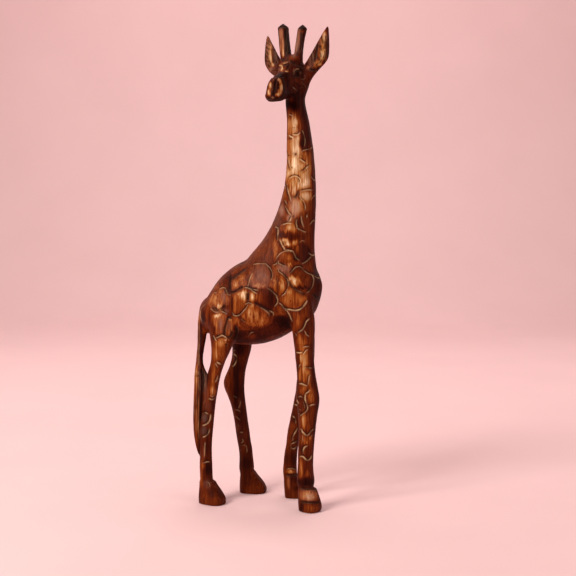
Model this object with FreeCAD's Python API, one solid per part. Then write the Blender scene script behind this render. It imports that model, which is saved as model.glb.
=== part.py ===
import FreeCAD, Part
import math
import os

# A carved wooden giraffe in a slow walk, its head turned to its right. All sizes are millimetres.
# +X is the way the body faces, +Y is the giraffe's left and +Z is up. The hooves stand on Z = 0, and
# the origin is on the floor under the middle of the whole outline.
# The blank is built up: neck, legs and head are glued on with dowels, ears, horns and tail with tenons.

# ---- driving dimensions ----
# Everything is drawn in a frame of its own and moved to the floor and the origin at the end.
FLOOR_Z = -7.0              # height of the floor in that frame
OUTLINE_MIDDLE_X = 9.32     # middle of the outline in that frame
OUTLINE_MIDDLE_Y = -2.45

NECK_JOINT_Z = 378.0        # glue face between torso and neck
HEAD_JOINT_Z = 566.0        # glue face between neck and head
LEG_JOINT_Z = 230.0         # glue faces between torso and legs
HOOF_HEIGHT = 32.0          # from the floor to the ledge on which the leg stands

HEAD_X = 52.8               # middle of the skull
HEAD_Z = 610.0
HEAD_TURN = 105.0           # degrees that the face is turned to the giraffe's right

DOWEL_RADIUS = 5.0
DOWEL_DEPTH = 24.0          # how far a dowel goes into each piece
LEG_DOWEL_RADIUS = 4.0
TENON_RADIUS = 3.2
TENON_LENGTH = 9.0

POINTS_ROUND_A_SECTION = 16
LEG_NAMES = ("front_right", "front_left", "hind_right", "hind_left")

# ---- stations of the carved forms ----
# Torso, along X: x, height of the back, height of the belly, half width.
RUMP_TIP = (-87.5, 264.5)
CHEST_TIP = (95.2, 307.0)
TORSO_STATIONS = [
    (-84.0, 278.0, 250.0, 17.0),
    (-78.0, 287.0, 240.0, 26.0),
    (-68.0, 299.0, 231.0, 35.0),
    (-55.0, 317.0, 224.0, 41.0),
    (-38.0, 332.0, 221.0, 43.0),
    (-15.0, 344.0, 220.0, 43.5),
    (12.0, 351.0, 224.0, 43.5),
    (36.0, 350.0, 233.0, 42.0),
    (56.0, 346.0, 245.0, 38.5),
    (72.0, 341.0, 256.0, 33.0),
    (82.6, 335.0, 267.0, 26.5),
    (89.4, 326.0, 281.0, 18.0),
    (93.2, 317.0, 294.0, 9.0),
]

# Upright forms: z, x, y, half length along X, half width along Y.
NECK_STATIONS = [
    (296.0, 38.0, 0.0, 50.0, 37.0),
    (328.0, 34.0, 0.0, 53.5, 36.0),
    (345.0, 35.2, 0.0, 50.0, 34.0),
    (357.0, 39.6, 0.0, 44.4, 32.0),
    (379.0, 48.6, 0.0, 35.2, 28.6),
    (400.0, 55.0, 0.0, 29.8, 26.4),
    (429.0, 60.8, 0.0, 24.8, 23.2),
    (458.0, 63.8, 0.0, 21.4, 20.6),
    (500.0, 63.0, 0.0, 18.8, 18.8),
    (536.0, 60.4, 0.0, 15.9, 16.0),
    (565.0, 56.2, 0.0, 13.8, 13.8),
    (580.0, 57.8, 0.6, 14.6, 14.0),
    (596.0, 60.6, 1.4, 15.4, 14.0),
    (612.0, 62.0, 2.0, 14.0, 13.0),
]
FRONT_RIGHT_STATIONS = [
    (302.0, 66.0, -18.0, 22.0, 17.0),
    (268.0, 72.0, -23.0, 19.0, 16.0),
    (230.0, 77.3, -26.0, 14.5, 14.0),
    (200.0, 79.5, -27.5, 12.9, 12.4),
    (180.0, 81.8, -28.0, 13.6, 13.0),
    (164.0, 83.4, -28.6, 15.4, 14.0),
    (151.0, 84.0, -29.0, 16.4, 14.8),
    (136.0, 84.0, -29.4, 14.6, 13.6),
    (116.0, 83.6, -30.0, 12.5, 12.0),
    (84.0, 82.2, -31.0, 11.2, 11.0),
    (58.0, 81.4, -31.6, 11.0, 10.8),
    (39.0, 81.8, -32.0, 12.4, 12.0),
    (29.0, 82.4, -32.0, 11.2, 11.0),
    (21.0, 83.0, -32.0, 11.4, 11.2),
]
FRONT_LEFT_STATIONS = [
    (302.0, 50.0, 17.0, 19.0, 16.0),
    (268.0, 57.0, 22.5, 17.0, 15.5),
    (230.0, 63.0, 26.0, 14.2, 13.8),
    (200.0, 64.0, 26.6, 12.2, 12.0),
    (170.0, 63.0, 27.4, 12.4, 12.0),
    (152.0, 61.5, 28.0, 13.2, 12.8),
    (139.0, 59.2, 28.3, 13.0, 12.6),
    (121.0, 53.6, 28.7, 11.3, 11.2),
    (101.0, 48.0, 29.1, 10.2, 10.2),
    (82.0, 44.0, 29.5, 9.5, 9.5),
    (58.0, 40.2, 29.8, 9.4, 9.4),
    (44.0, 38.8, 30.0, 9.9, 9.9),
    (33.0, 38.6, 30.0, 10.3, 10.3),
    (21.0, 39.6, 30.0, 9.8, 9.9),
]
HIND_RIGHT_STATIONS = [
    (306.0, -34.0, -15.0, 20.0, 17.0),
    (284.0, -40.0, -21.0, 24.0, 19.0),
    (262.0, -42.6, -25.5, 23.5, 18.5),
    (245.0, -43.0, -28.5, 20.8, 16.6),
    (230.0, -43.4, -30.0, 18.2, 15.0),
    (209.0, -46.8, -31.2, 12.8, 12.6),
    (192.0, -51.8, -32.2, 9.8, 10.4),
    (174.0, -57.0, -33.0, 10.0, 10.2),
    (157.0, -59.4, -34.0, 9.2, 9.6),
    (123.0, -63.4, -35.5, 8.8, 9.1),
    (88.0, -66.4, -37.0, 8.8, 9.0),
    (58.0, -66.8, -37.8, 8.8, 9.1),
    (38.0, -66.6, -38.0, 9.2, 9.6),
    (21.0, -65.6, -38.0, 9.8, 9.8),
]
HIND_LEFT_STATIONS = [
    (306.0, -32.0, 15.0, 20.0, 17.0),
    (284.0, -35.0, 21.0, 22.5, 19.0),
    (262.0, -36.5, 25.0, 21.5, 18.5),
    (245.0, -36.0, 27.2, 19.2, 16.6),
    (230.0, -35.6, 28.5, 16.8, 15.0),
    (213.0, -35.8, 29.4, 14.6, 13.6),
    (193.0, -39.6, 30.4, 12.5, 12.0),
    (174.0, -45.6, 31.4, 13.6, 12.0),
    (158.0, -49.4, 32.2, 15.8, 12.2),
    (144.0, -48.0, 33.0, 14.2, 11.8),
    (128.0, -44.2, 33.8, 11.6, 11.0),
    (104.0, -39.8, 34.6, 10.4, 10.2),
    (60.0, -33.4, 35.8, 10.0, 9.8),
    (40.0, -31.6, 36.0, 10.6, 10.4),
    (21.0, -31.0, 36.0, 10.2, 10.0),
]
TAIL_STATIONS = [
    (288.0, -70.0, -2.0, 7.0, 6.5),
    (270.0, -81.0, -5.0, 8.0, 7.5),
    (243.0, -82.6, -12.0, 6.8, 6.6),
    (212.0, -81.4, -21.0, 5.4, 5.4),
    (194.0, -80.8, -26.0, 5.6, 5.6),
    (184.0, -78.6, -28.5, 8.2, 6.2),
    (174.0, -76.0, -30.5, 11.0, 7.0),
    (158.0, -76.4, -32.4, 10.4, 7.2),
    (138.0, -78.4, -34.4, 8.2, 7.4),
    (108.0, -79.2, -36.6, 7.2, 6.6),
    (82.0, -78.2, -37.8, 5.4, 5.0),
    (64.0, -75.6, -38.0, 2.8, 2.6),
]
TAIL_TIP = (58.0, -74.6, -38.0)
TAIL_JOINT_Z = 236.0        # level glue face between the tail's root and the tail

# Hooves: height above the floor, reach of the toe ahead of the ankle and of the heel behind it, half width.
FRONT_HOOF = [
    (0.0, 20.5, 8.8, 13.8),
    (12.0, 21.6, 9.2, 14.0),
    (17.0, 19.6, 9.6, 13.5),
    (25.0, 16.0, 9.9, 12.8),
    (HOOF_HEIGHT, 12.8, 10.2, 12.0),
]
HIND_HOOF = [
    (0.0, 28.5, 10.4, 14.2),
    (7.0, 29.0, 10.6, 14.4),
    (13.0, 26.5, 10.6, 13.6),
    (22.0, 19.6, 10.2, 11.8),
    (HOOF_HEIGHT, 12.4, 9.8, 10.4),
]
HOOF_SQUARENESS = 2.8
CLEFT_WIDTH = 2.4
CLEFT_DEPTH = 6.0
CLEFT_HEIGHT = 14.0

# Head, along the way it faces: distance, middle height, half width, half height, lean of the cut.
SKULL_BACK = (-19.0, -8.0)
NOSE_END = (55.3, -31.5)
HEAD_STATIONS = [
    (-16.0, -8.0, 12.0, 16.0, 0.0),
    (-8.0, -7.0, 17.5, 24.0, 0.0),
    (2.0, -6.0, 19.0, 27.5, 0.0),
    (13.0, -10.0, 17.2, 29.5, 0.04),
    (22.0, -16.5, 14.0, 25.5, 0.08),
]
# The muzzle is squarer, broader below than above, and its cuts lean back at the top.
MUZZLE_STATIONS = [
    (31.0, -22.6, 11.6, 21.6, 0.12),
    (40.0, -26.2, 11.5, 19.4, 0.16),
    (47.5, -28.4, 11.2, 18.2, 0.20),
    (52.3, -29.8, 9.8, 16.2, 0.22),
]
MUZZLE_SQUARENESS = 2.7
MUZZLE_TAPER = 0.20
# Ears, upright: height, inner edge, outer edge (both out from the middle of the head), half thickness.
LEFT_EAR_STATIONS = [
    (-22.0, 12.0, 21.5, 5.6),
    (-12.0, 13.0, 28.4, 6.6),
    (-5.0, 14.0, 34.4, 6.6),
    (1.0, 15.5, 41.0, 6.8),
    (8.0, 18.0, 49.4, 7.0),
    (15.0, 22.5, 54.8, 6.6),
    (22.0, 27.4, 56.2, 5.8),
    (30.0, 33.0, 56.2, 5.2),
    (41.0, 40.5, 56.2, 4.2),
    (51.0, 47.5, 55.8, 3.0),
]
LEFT_EAR_ROOT = (-30.0, 16.0)
LEFT_EAR_TIP = (59.5, 54.4)
RIGHT_EAR_STATIONS = [
    (-5.0, 14.0, 35.0, 4.6),
    (1.0, 15.5, 43.0, 6.0),
    (9.0, 18.0, 48.6, 6.8),
    (18.0, 24.5, 50.2, 6.0),
    (29.0, 31.0, 50.0, 5.0),
    (38.0, 36.5, 49.2, 3.8),
    (46.0, 41.2, 48.0, 2.6),
]
RIGHT_EAR_ROOT = (-10.0, 23.0)
RIGHT_EAR_TIP = (53.0, 45.4)
EAR_FORWARD = -4.0          # middle plane of the ears, behind the middle of the skull
EAR_JOINT_OUT = 23.5        # flat glue face between skull and ear, out from the middle of the head
EAR_TENON_HEIGHT = 3.0
# Horns: height, distance out, radius.
LEFT_HORN_STATIONS = [(10.0, 9.4, 6.4), (22.0, 10.2, 6.0), (42.0, 13.4, 5.7), (56.5, 16.8, 6.1)]
LEFT_HORN_TIP = (63.0, 17.2)
RIGHT_HORN_STATIONS = [(10.0, 9.4, 7.8), (22.0, 11.0, 7.6), (42.0, 13.4, 7.2), (60.0, 15.3, 7.5)]
RIGHT_HORN_TIP = (66.5, 15.6)
HORN_FORWARD = 2.0
HORN_JOINT_HEIGHT = 26.0    # level glue face between skull and horn
HORN_SQUARENESS = 2.6


def section(middle, first, second, half_first, half_second, squareness=2.0, taper=0.0):
    """A closed smooth outline round middle. A taper makes it narrower towards the second direction."""
    points = []
    for step in range(POINTS_ROUND_A_SECTION):
        angle = 2.0 * math.pi * step / POINTS_ROUND_A_SECTION
        along = math.copysign(abs(math.cos(angle)) ** (2.0 / squareness), math.cos(angle))
        across = math.copysign(abs(math.sin(angle)) ** (2.0 / squareness), math.sin(angle))
        width = half_first * along * (1.0 - taper * across)
        points.append(middle + first * width + second * (half_second * across))
    curve = Part.BSplineCurve()
    curve.interpolate(Points=points, PeriodicFlag=True)
    start = curve.FirstParameter
    end = curve.LastParameter
    halfway = curve.parameter(points[POINTS_ROUND_A_SECTION // 2])
    return Part.Wire([curve.toShape(start, halfway), curve.toShape(halfway, end)])


def loft(sections):
    """A closed solid through the sections."""
    return Part.makeLoft(sections, True, False, False, 3)


def upright(stations):
    """The sections of a form whose stations are level cuts."""
    ahead = FreeCAD.Vector(1, 0, 0)
    sideways = FreeCAD.Vector(0, 1, 0)
    cuts = []
    for z, x, y, half_length, half_width in stations:
        middle = FreeCAD.Vector(x, y, z)
        cuts.append(section(middle, ahead, sideways, half_length, half_width))
    return cuts


def slab(low_z, high_z):
    """A block, wider than the giraffe, between two heights."""
    reach = 400.0
    return Part.makeBox(2 * reach, 2 * reach, high_z - low_z, FreeCAD.Vector(-reach, -reach, low_z))


def rod(start, end, radius):
    """A round rod between two points."""
    way = end - start
    return Part.makeCylinder(radius, way.Length, start, way)


def head_direction():
    """The way the face looks, and the head's own left."""
    turn = math.radians(-HEAD_TURN)
    face = FreeCAD.Vector(math.cos(turn), math.sin(turn), 0)
    left = FreeCAD.Vector(-math.sin(turn), math.cos(turn), 0)
    return face, left


def head_point(out, forward, height):
    """A point of the head, from its middle: out to its left, forward along the face, and up."""
    face, left = head_direction()
    return FreeCAD.Vector(HEAD_X, 0, HEAD_Z) + left * out + face * forward + FreeCAD.Vector(0, 0, height)


def torso_form():
    sideways = FreeCAD.Vector(0, 1, 0)
    up = FreeCAD.Vector(0, 0, 1)
    cuts = [Part.Vertex(FreeCAD.Vector(RUMP_TIP[0], 0, RUMP_TIP[1]))]
    for x, top, bottom, half_width in TORSO_STATIONS:
        middle = FreeCAD.Vector(x, 0, (top + bottom) / 2)
        half_height = (top - bottom) / 2
        cuts.append(section(middle, sideways, up, half_width, half_height))
    cuts.append(Part.Vertex(FreeCAD.Vector(CHEST_TIP[0], 0, CHEST_TIP[1])))
    return loft(cuts)


def hoof(ankle_x, ankle_y, stations, toe_turn):
    """A squared hoof under an ankle, flat below, with a sloping front and a cleft toe."""
    turn = math.radians(toe_turn)
    toe = FreeCAD.Vector(math.cos(turn), math.sin(turn), 0)
    side = FreeCAD.Vector(-math.sin(turn), math.cos(turn), 0)
    cuts = []
    for height, toe_reach, heel_reach, half_width in stations:
        middle = FreeCAD.Vector(ankle_x, ankle_y, FLOOR_Z + height) + toe * ((toe_reach - heel_reach) / 2)
        half_length = (toe_reach + heel_reach) / 2
        cuts.append(section(middle, toe, side, half_length, half_width, HOOF_SQUARENESS))
    block = loft(cuts)
    tip = FreeCAD.Vector(ankle_x, ankle_y, FLOOR_Z) + toe * stations[0][1]
    below = FreeCAD.Vector(0, 0, -1)
    corners = []
    for ahead, across in ((-CLEFT_DEPTH, 0.0), (1.0, CLEFT_WIDTH / 2), (1.0, -CLEFT_WIDTH / 2)):
        corners.append(tip + toe * ahead + side * across + below)
    wedge = Part.Face(Part.makePolygon(corners + corners[:1]))
    return block.cut(wedge.extrude(FreeCAD.Vector(0, 0, CLEFT_HEIGHT + 1)))


def leg_form(stations, hoof_stations, toe_turn):
    """A whole leg, from inside the torso to the sole."""
    ankle = stations[-1]
    return loft(upright(stations)).fuse(hoof(ankle[1], ankle[2], hoof_stations, toe_turn))


def station_middle(stations, height):
    """The middle of the form at the station of that height."""
    for z, x, y, _, _ in stations:
        if abs(z - height) < 1.5:
            return FreeCAD.Vector(x, y, height)
    raise ValueError("no station at this height")


def upright_dowel(middle, radius):
    """A dowel that crosses a level glue face."""
    half = FreeCAD.Vector(0, 0, DOWEL_DEPTH)
    return rod(middle - half, middle + half, radius)


def skull_form():
    face, left = head_direction()
    up = FreeCAD.Vector(0, 0, 1)
    cuts = [Part.Vertex(head_point(0, SKULL_BACK[0], SKULL_BACK[1]))]
    for forward, height, half_width, half_height, lean in HEAD_STATIONS:
        cuts.append(section(head_point(0, forward, height), left, up - face * lean, half_width, half_height))
    for forward, height, half_width, half_height, lean in MUZZLE_STATIONS:
        middle = head_point(0, forward, height)
        cuts.append(section(middle, left, up - face * lean, half_width, half_height,
                            MUZZLE_SQUARENESS, MUZZLE_TAPER))
    cuts.append(Part.Vertex(head_point(0, NOSE_END[0], NOSE_END[1])))
    return loft(cuts)


def ear_form(stations, root, tip, side):
    """A leaf-shaped ear, hollowed in front. side is 1 for the left ear and -1 for the right."""
    face, left = head_direction()
    outer_cuts = [Part.Vertex(head_point(side * root[1], EAR_FORWARD, root[0]))]
    hollow_cuts = []
    for height, inner, outer, half_thickness in stations:
        half_width = (outer - inner) / 2
        middle = head_point(side * (inner + outer) / 2, EAR_FORWARD, height)
        outer_cuts.append(section(middle, left, face, half_width, half_thickness))
        if height > 0:
            hollow_middle = middle + face * (1.15 * half_thickness)
            hollow_cuts.append(section(hollow_middle, left, face, 0.70 * half_width, 0.95 * half_thickness))
    outer_cuts.append(Part.Vertex(head_point(side * tip[1], EAR_FORWARD, tip[0])))
    return loft(outer_cuts).cut(loft(hollow_cuts))


def horn_form(stations, tip, side):
    """A stubby horn with a blunt, faceted end."""
    face, left = head_direction()
    cuts = []
    for height, out, radius in stations:
        middle = head_point(side * out, HORN_FORWARD, height)
        cuts.append(section(middle, left, face, radius, radius, HORN_SQUARENESS))
    point = Part.Vertex(head_point(side * tip[1], HORN_FORWARD, tip[0]))
    cap = Part.makeLoft([cuts[-1], point], True, True)
    return loft(cuts).fuse(cap)


def beside_head(side, near, far):
    """A block from one distance to another out to a side of the head."""
    face, left = head_direction()
    reach = 100.0
    corner = head_point(side * near, -reach, -reach)
    outline = [corner, corner + left * (side * (far - near))]
    outline += [outline[1] + face * (2 * reach), corner + face * (2 * reach), corner]
    return Part.Face(Part.makePolygon(outline)).extrude(FreeCAD.Vector(0, 0, 2 * reach))


def ear_tenon(side):
    """A round tenon from the root of the ear into the skull."""
    start = head_point(side * (EAR_JOINT_OUT - TENON_LENGTH), EAR_FORWARD, EAR_TENON_HEIGHT)
    end = head_point(side * (EAR_JOINT_OUT + TENON_LENGTH / 2), EAR_FORWARD, EAR_TENON_HEIGHT)
    return rod(start, end, TENON_RADIUS)


def horn_tenon(stations, side):
    """A round tenon from the foot of the horn into the skull."""
    out = stations[1][1]
    start = head_point(side * out, HORN_FORWARD, HORN_JOINT_HEIGHT - TENON_LENGTH)
    end = head_point(side * out, HORN_FORWARD, HORN_JOINT_HEIGHT + TENON_LENGTH)
    return rod(start, end, TENON_RADIUS)


def tail_tenon():
    """A round tenon from the top of the tail into its root on the rump."""
    x = TAIL_STATIONS[2][1]
    y = TAIL_STATIONS[2][2] - 1.5
    start = FreeCAD.Vector(x, y, TAIL_JOINT_Z - TENON_LENGTH)
    end = FreeCAD.Vector(x, y, TAIL_JOINT_Z + TENON_LENGTH)
    return rod(start, end, TENON_RADIUS)


def build_legs():
    """Each leg's whole form, its stations and its dowel."""
    legs = {}
    plan = [
        ("front_right", FRONT_RIGHT_STATIONS, FRONT_HOOF, -24.0),
        ("front_left", FRONT_LEFT_STATIONS, FRONT_HOOF, 14.0),
        ("hind_right", HIND_RIGHT_STATIONS, HIND_HOOF, -12.0),
        ("hind_left", HIND_LEFT_STATIONS, HIND_HOOF, 10.0),
    ]
    for name, stations, hoof_stations, toe_turn in plan:
        form = leg_form(stations, hoof_stations, toe_turn)
        dowel = upright_dowel(station_middle(stations, LEG_JOINT_Z), LEG_DOWEL_RADIUS)
        legs[name] = (form, dowel)
    return legs


def build_head(neck):
    """The head with its sockets, and the ears and horns."""
    pieces = {}
    grown = [neck.common(slab(HEAD_JOINT_Z, 2 * HEAD_Z))]
    tenons = []
    horn_face = HEAD_Z + HORN_JOINT_HEIGHT
    for name, stations, tip, side in (("left_horn", LEFT_HORN_STATIONS, LEFT_HORN_TIP, 1),
                                      ("right_horn", RIGHT_HORN_STATIONS, RIGHT_HORN_TIP, -1)):
        horn = horn_form(stations, tip, side)
        tenon = horn_tenon(stations, side)
        pieces[name] = horn.common(slab(horn_face, 2 * HEAD_Z)).fuse(tenon)
        grown.append(horn.common(slab(0, horn_face)))
        tenons.append(tenon)
    for name, stations, root, tip, side in (
            ("left_ear", LEFT_EAR_STATIONS, LEFT_EAR_ROOT, LEFT_EAR_TIP, 1),
            ("right_ear", RIGHT_EAR_STATIONS, RIGHT_EAR_ROOT, RIGHT_EAR_TIP, -1)):
        ear = ear_form(stations, root, tip, side)
        tenon = ear_tenon(side)
        pieces[name] = ear.common(beside_head(side, EAR_JOINT_OUT, 100.0)).fuse(tenon)
        grown.append(ear.common(beside_head(side, 0.0, EAR_JOINT_OUT)))
        tenons.append(tenon)
    head_dowel = upright_dowel(station_middle(NECK_STATIONS, HEAD_JOINT_Z), DOWEL_RADIUS)
    pieces["head_dowel"] = head_dowel
    pieces["head"] = skull_form().fuse(grown).cut(tenons + [head_dowel])
    return pieces


def build_nodes():
    """Every piece of the giraffe, by name."""
    neck = loft(upright(NECK_STATIONS))
    tail_end = Part.Vertex(FreeCAD.Vector(TAIL_TIP[1], TAIL_TIP[2], TAIL_TIP[0]))
    tail = loft(upright(TAIL_STATIONS) + [tail_end])
    nodes = build_head(neck)

    # The torso block takes the foot of the neck, the tops of the legs and the root of the tail.
    grown = [neck.common(slab(0, NECK_JOINT_Z)), tail.common(slab(TAIL_JOINT_Z, NECK_JOINT_Z))]
    holes = [tail_tenon()]
    for name, (form, dowel) in build_legs().items():
        grown.append(form.common(slab(LEG_JOINT_Z, NECK_JOINT_Z)))
        nodes[name + "_leg"] = form.common(slab(2 * FLOOR_Z, LEG_JOINT_Z))
        nodes[name + "_dowel"] = dowel
        holes.append(dowel)
    neck_middle = station_middle(NECK_STATIONS, NECK_JOINT_Z)
    for name, offset in (("neck_dowel_front", 14.0), ("neck_dowel_rear", -14.0)):
        nodes[name] = upright_dowel(neck_middle + FreeCAD.Vector(offset, 0, 0), DOWEL_RADIUS)
        holes.append(nodes[name])
    block = torso_form().fuse(grown)
    nodes["torso"] = block.cut(holes)
    for name in LEG_NAMES:
        nodes[name + "_leg"] = nodes[name + "_leg"].cut([block, nodes[name + "_dowel"]])
    neck_holes = [nodes["neck_dowel_front"], nodes["neck_dowel_rear"], nodes["head_dowel"]]
    nodes["neck"] = neck.common(slab(NECK_JOINT_Z, HEAD_JOINT_Z)).cut(neck_holes + [nodes["head"]])
    hanging = tail.common(slab(0, TAIL_JOINT_Z)).cut([block, nodes["hind_right_leg"]])
    nodes["tail"] = hanging.fuse(tail_tenon())
    return nodes


def main():
    os.makedirs("parts", exist_ok=True)
    shift = FreeCAD.Vector(-OUTLINE_MIDDLE_X, -OUTLINE_MIDDLE_Y, -FLOOR_Z)
    for name, shape in build_nodes().items():
        shape.translate(shift)
        shape.exportStep("parts/" + name + ".step")


main()
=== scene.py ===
import itertools
import math

import bmesh
import bpy
import numpy as np
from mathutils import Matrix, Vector
from mathutils.bvhtree import BVHTree


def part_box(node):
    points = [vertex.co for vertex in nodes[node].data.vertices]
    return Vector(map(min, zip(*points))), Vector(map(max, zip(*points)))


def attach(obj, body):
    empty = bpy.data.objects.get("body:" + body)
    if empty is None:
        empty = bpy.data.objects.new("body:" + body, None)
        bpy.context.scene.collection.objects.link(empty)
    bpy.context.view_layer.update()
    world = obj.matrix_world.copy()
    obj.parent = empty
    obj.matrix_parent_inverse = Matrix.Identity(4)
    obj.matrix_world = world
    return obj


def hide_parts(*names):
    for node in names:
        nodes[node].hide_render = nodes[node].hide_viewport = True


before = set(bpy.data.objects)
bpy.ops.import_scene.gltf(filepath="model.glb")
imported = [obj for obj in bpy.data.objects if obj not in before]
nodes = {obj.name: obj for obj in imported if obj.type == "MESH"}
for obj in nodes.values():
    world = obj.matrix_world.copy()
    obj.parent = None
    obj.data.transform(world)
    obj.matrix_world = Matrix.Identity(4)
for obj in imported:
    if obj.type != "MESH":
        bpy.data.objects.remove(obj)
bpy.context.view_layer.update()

# The finish of a carved wooden giraffe. Its CAD pieces are merged into one skin, which is smoothed and
# carved, and then cut along the CAD glue faces into one visible piece for each CAD piece.
# Lengths in the lists below are millimetres. +X is the way the body faces, +Y its left, +Z up.

MM = 0.001
VOXEL = 1.3 * MM            # step of the first skin, which is halved once
IRONING_ROUNDS = 5
BLENDING_ROUNDS = 26
FINISHING_ROUNDS = 2

# ---- glue faces, where the CAD pieces end ----
NECK_JOINT_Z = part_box("neck")[0].z
HEAD_JOINT_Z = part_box("neck")[1].z
LEG_JOINT_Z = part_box("front_right_leg")[1].z
HORN_JOINT_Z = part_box("head")[1].z
TAIL_TENON_LENGTH = 9.0 * MM                    # it stands up from the tail's glue face
TAIL_JOINT_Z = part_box("tail")[1].z - TAIL_TENON_LENGTH
EAR_FOOT_Z = HEAD_JOINT_Z + 9 * MM
LEG_TOP_Z = LEG_JOINT_Z - 15 * MM               # below this the skin between torso and leg is the leg's
NECK_HALF_WIDTH = 20.0 * MM
NECK_FRONT = 24.0 * MM       # how far the neck reaches from the head's middle towards the face
EAR_JOINT_OUT = 23.5 * MM
JOINT_REACH = 2 * MM         # how near its plane a face has to be to be cut by it
THROAT_Z = HEAD_JOINT_Z - 6 * MM                # above this the neck carries the head's marks
RUMP_X = -72.0 * MM                             # behind this and below RUMP_TOP_Z the torso carries
RUMP_TOP_Z = 297.0 * MM                         # the tail's marks

MIDDLE_Y = 2.45 * MM                            # the body's middle plane
HEAD_MIDDLE = np.array([43.48, 2.45, 617.0]) * MM
HEAD_LEFT = np.array([0.966, -0.259, 0.0])      # out to the head's own left
HEAD_FACE = np.array([-0.259, -0.966, 0.0])     # the way the face looks

# ---- the main view, from the giraffe's right and a little ahead ----
EYE = np.array([556.9, -1601.0, 457.0]) * MM
ACROSS = np.array([0.951, 0.309, 0.0])
TOWARDS_EYE = np.array([0.309, -0.951, 0.0])
TILT_DOWN = math.radians(4.95)
SIGHT = np.append(-math.cos(TILT_DOWN) * TOWARDS_EYE[:2], -math.sin(TILT_DOWN))
SIGHT_UP = np.append(-math.sin(TILT_DOWN) * TOWARDS_EYE[:2], math.cos(TILT_DOWN))
SHEET_MIDDLE = (43.0, 301.0)
SHEET_DISTANCE = 1700.0
LIST_FLOOR = 7.0            # heights in the lists below are from this far above the floor

LEGS = ("front_right_leg", "front_left_leg", "hind_right_leg", "hind_left_leg")
OPPOSITE = {
    "front_right_leg": "front_left_leg",
    "front_left_leg": "front_right_leg",
    "hind_right_leg": "hind_left_leg",
    "hind_left_leg": "hind_right_leg",
}
# Attributes: stain tone; painted sheen, greyish highlights laid into the colour; pale cut wood, partly
# painted light; soot with painted shade.
ATTRIBUTES = ("tone", "painted_sheen", "cut", "soot_and_shade")
PIECES = ("torso", "neck", "head", "left_ear", "right_ear", "left_horn", "right_horn", "tail") + LEGS
SLOTS = {
    "head": "burnt_wood",
    "left_horn": "burnt_wood",
    "right_horn": "burnt_wood",
    "tail": "burnt_wood",
    "left_ear": "ear_wood",
    "right_ear": "ear_wood",
}
BODY_TONE = 0.40
LIMB_TONE = 0.34
HEAD_TONE = 0.17
EAR_TONE = 0.22
BASE_TONES = {"head": HEAD_TONE, "left_horn": HEAD_TONE, "right_horn": HEAD_TONE,
              "left_ear": EAR_TONE, "right_ear": EAR_TONE, "tail": LIMB_TONE}
BASE_TONES.update((name, LIMB_TONE) for name in LEGS)

# ---- knife cuts: depth, half width, how much pale wood they bare, how dark their upper lip is (soot and painted shade) ----
LIGHT = (1.00, 0.90, 1.00, 0.9)
THICK = (1.35, 1.10, 1.00, 1.0)
FAINT = (0.60, 0.80, 0.50, 0.6)
EDGE = (1.10, 0.85, 0.62, 1.0)
DARK = (1.10, 1.25, 0.12, 1.0)
CRACK = (0.45, 0.70, 0.0, 0.7)
HOLE = (1.60, 1.50, 0.0, 1.0)
HAIR = (0.40, 0.75, 0.20, 0.45)
# A thin, fully pale cut used as a painted highlight line, on the eyelid and the brow.
PAINTED_GLEAM = (0.50, 0.70, 1.00, 0.3)
STROKE = (0.40, 0.65, 0.0, 1.0)
VALLEY = (2.20, 1.90, 0.0, 1.0)
GROOVE = (2.20, 2.30, 0.0, 1.0)
SLIT = (1.90, 1.25, 0.0, 1.0)

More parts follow.
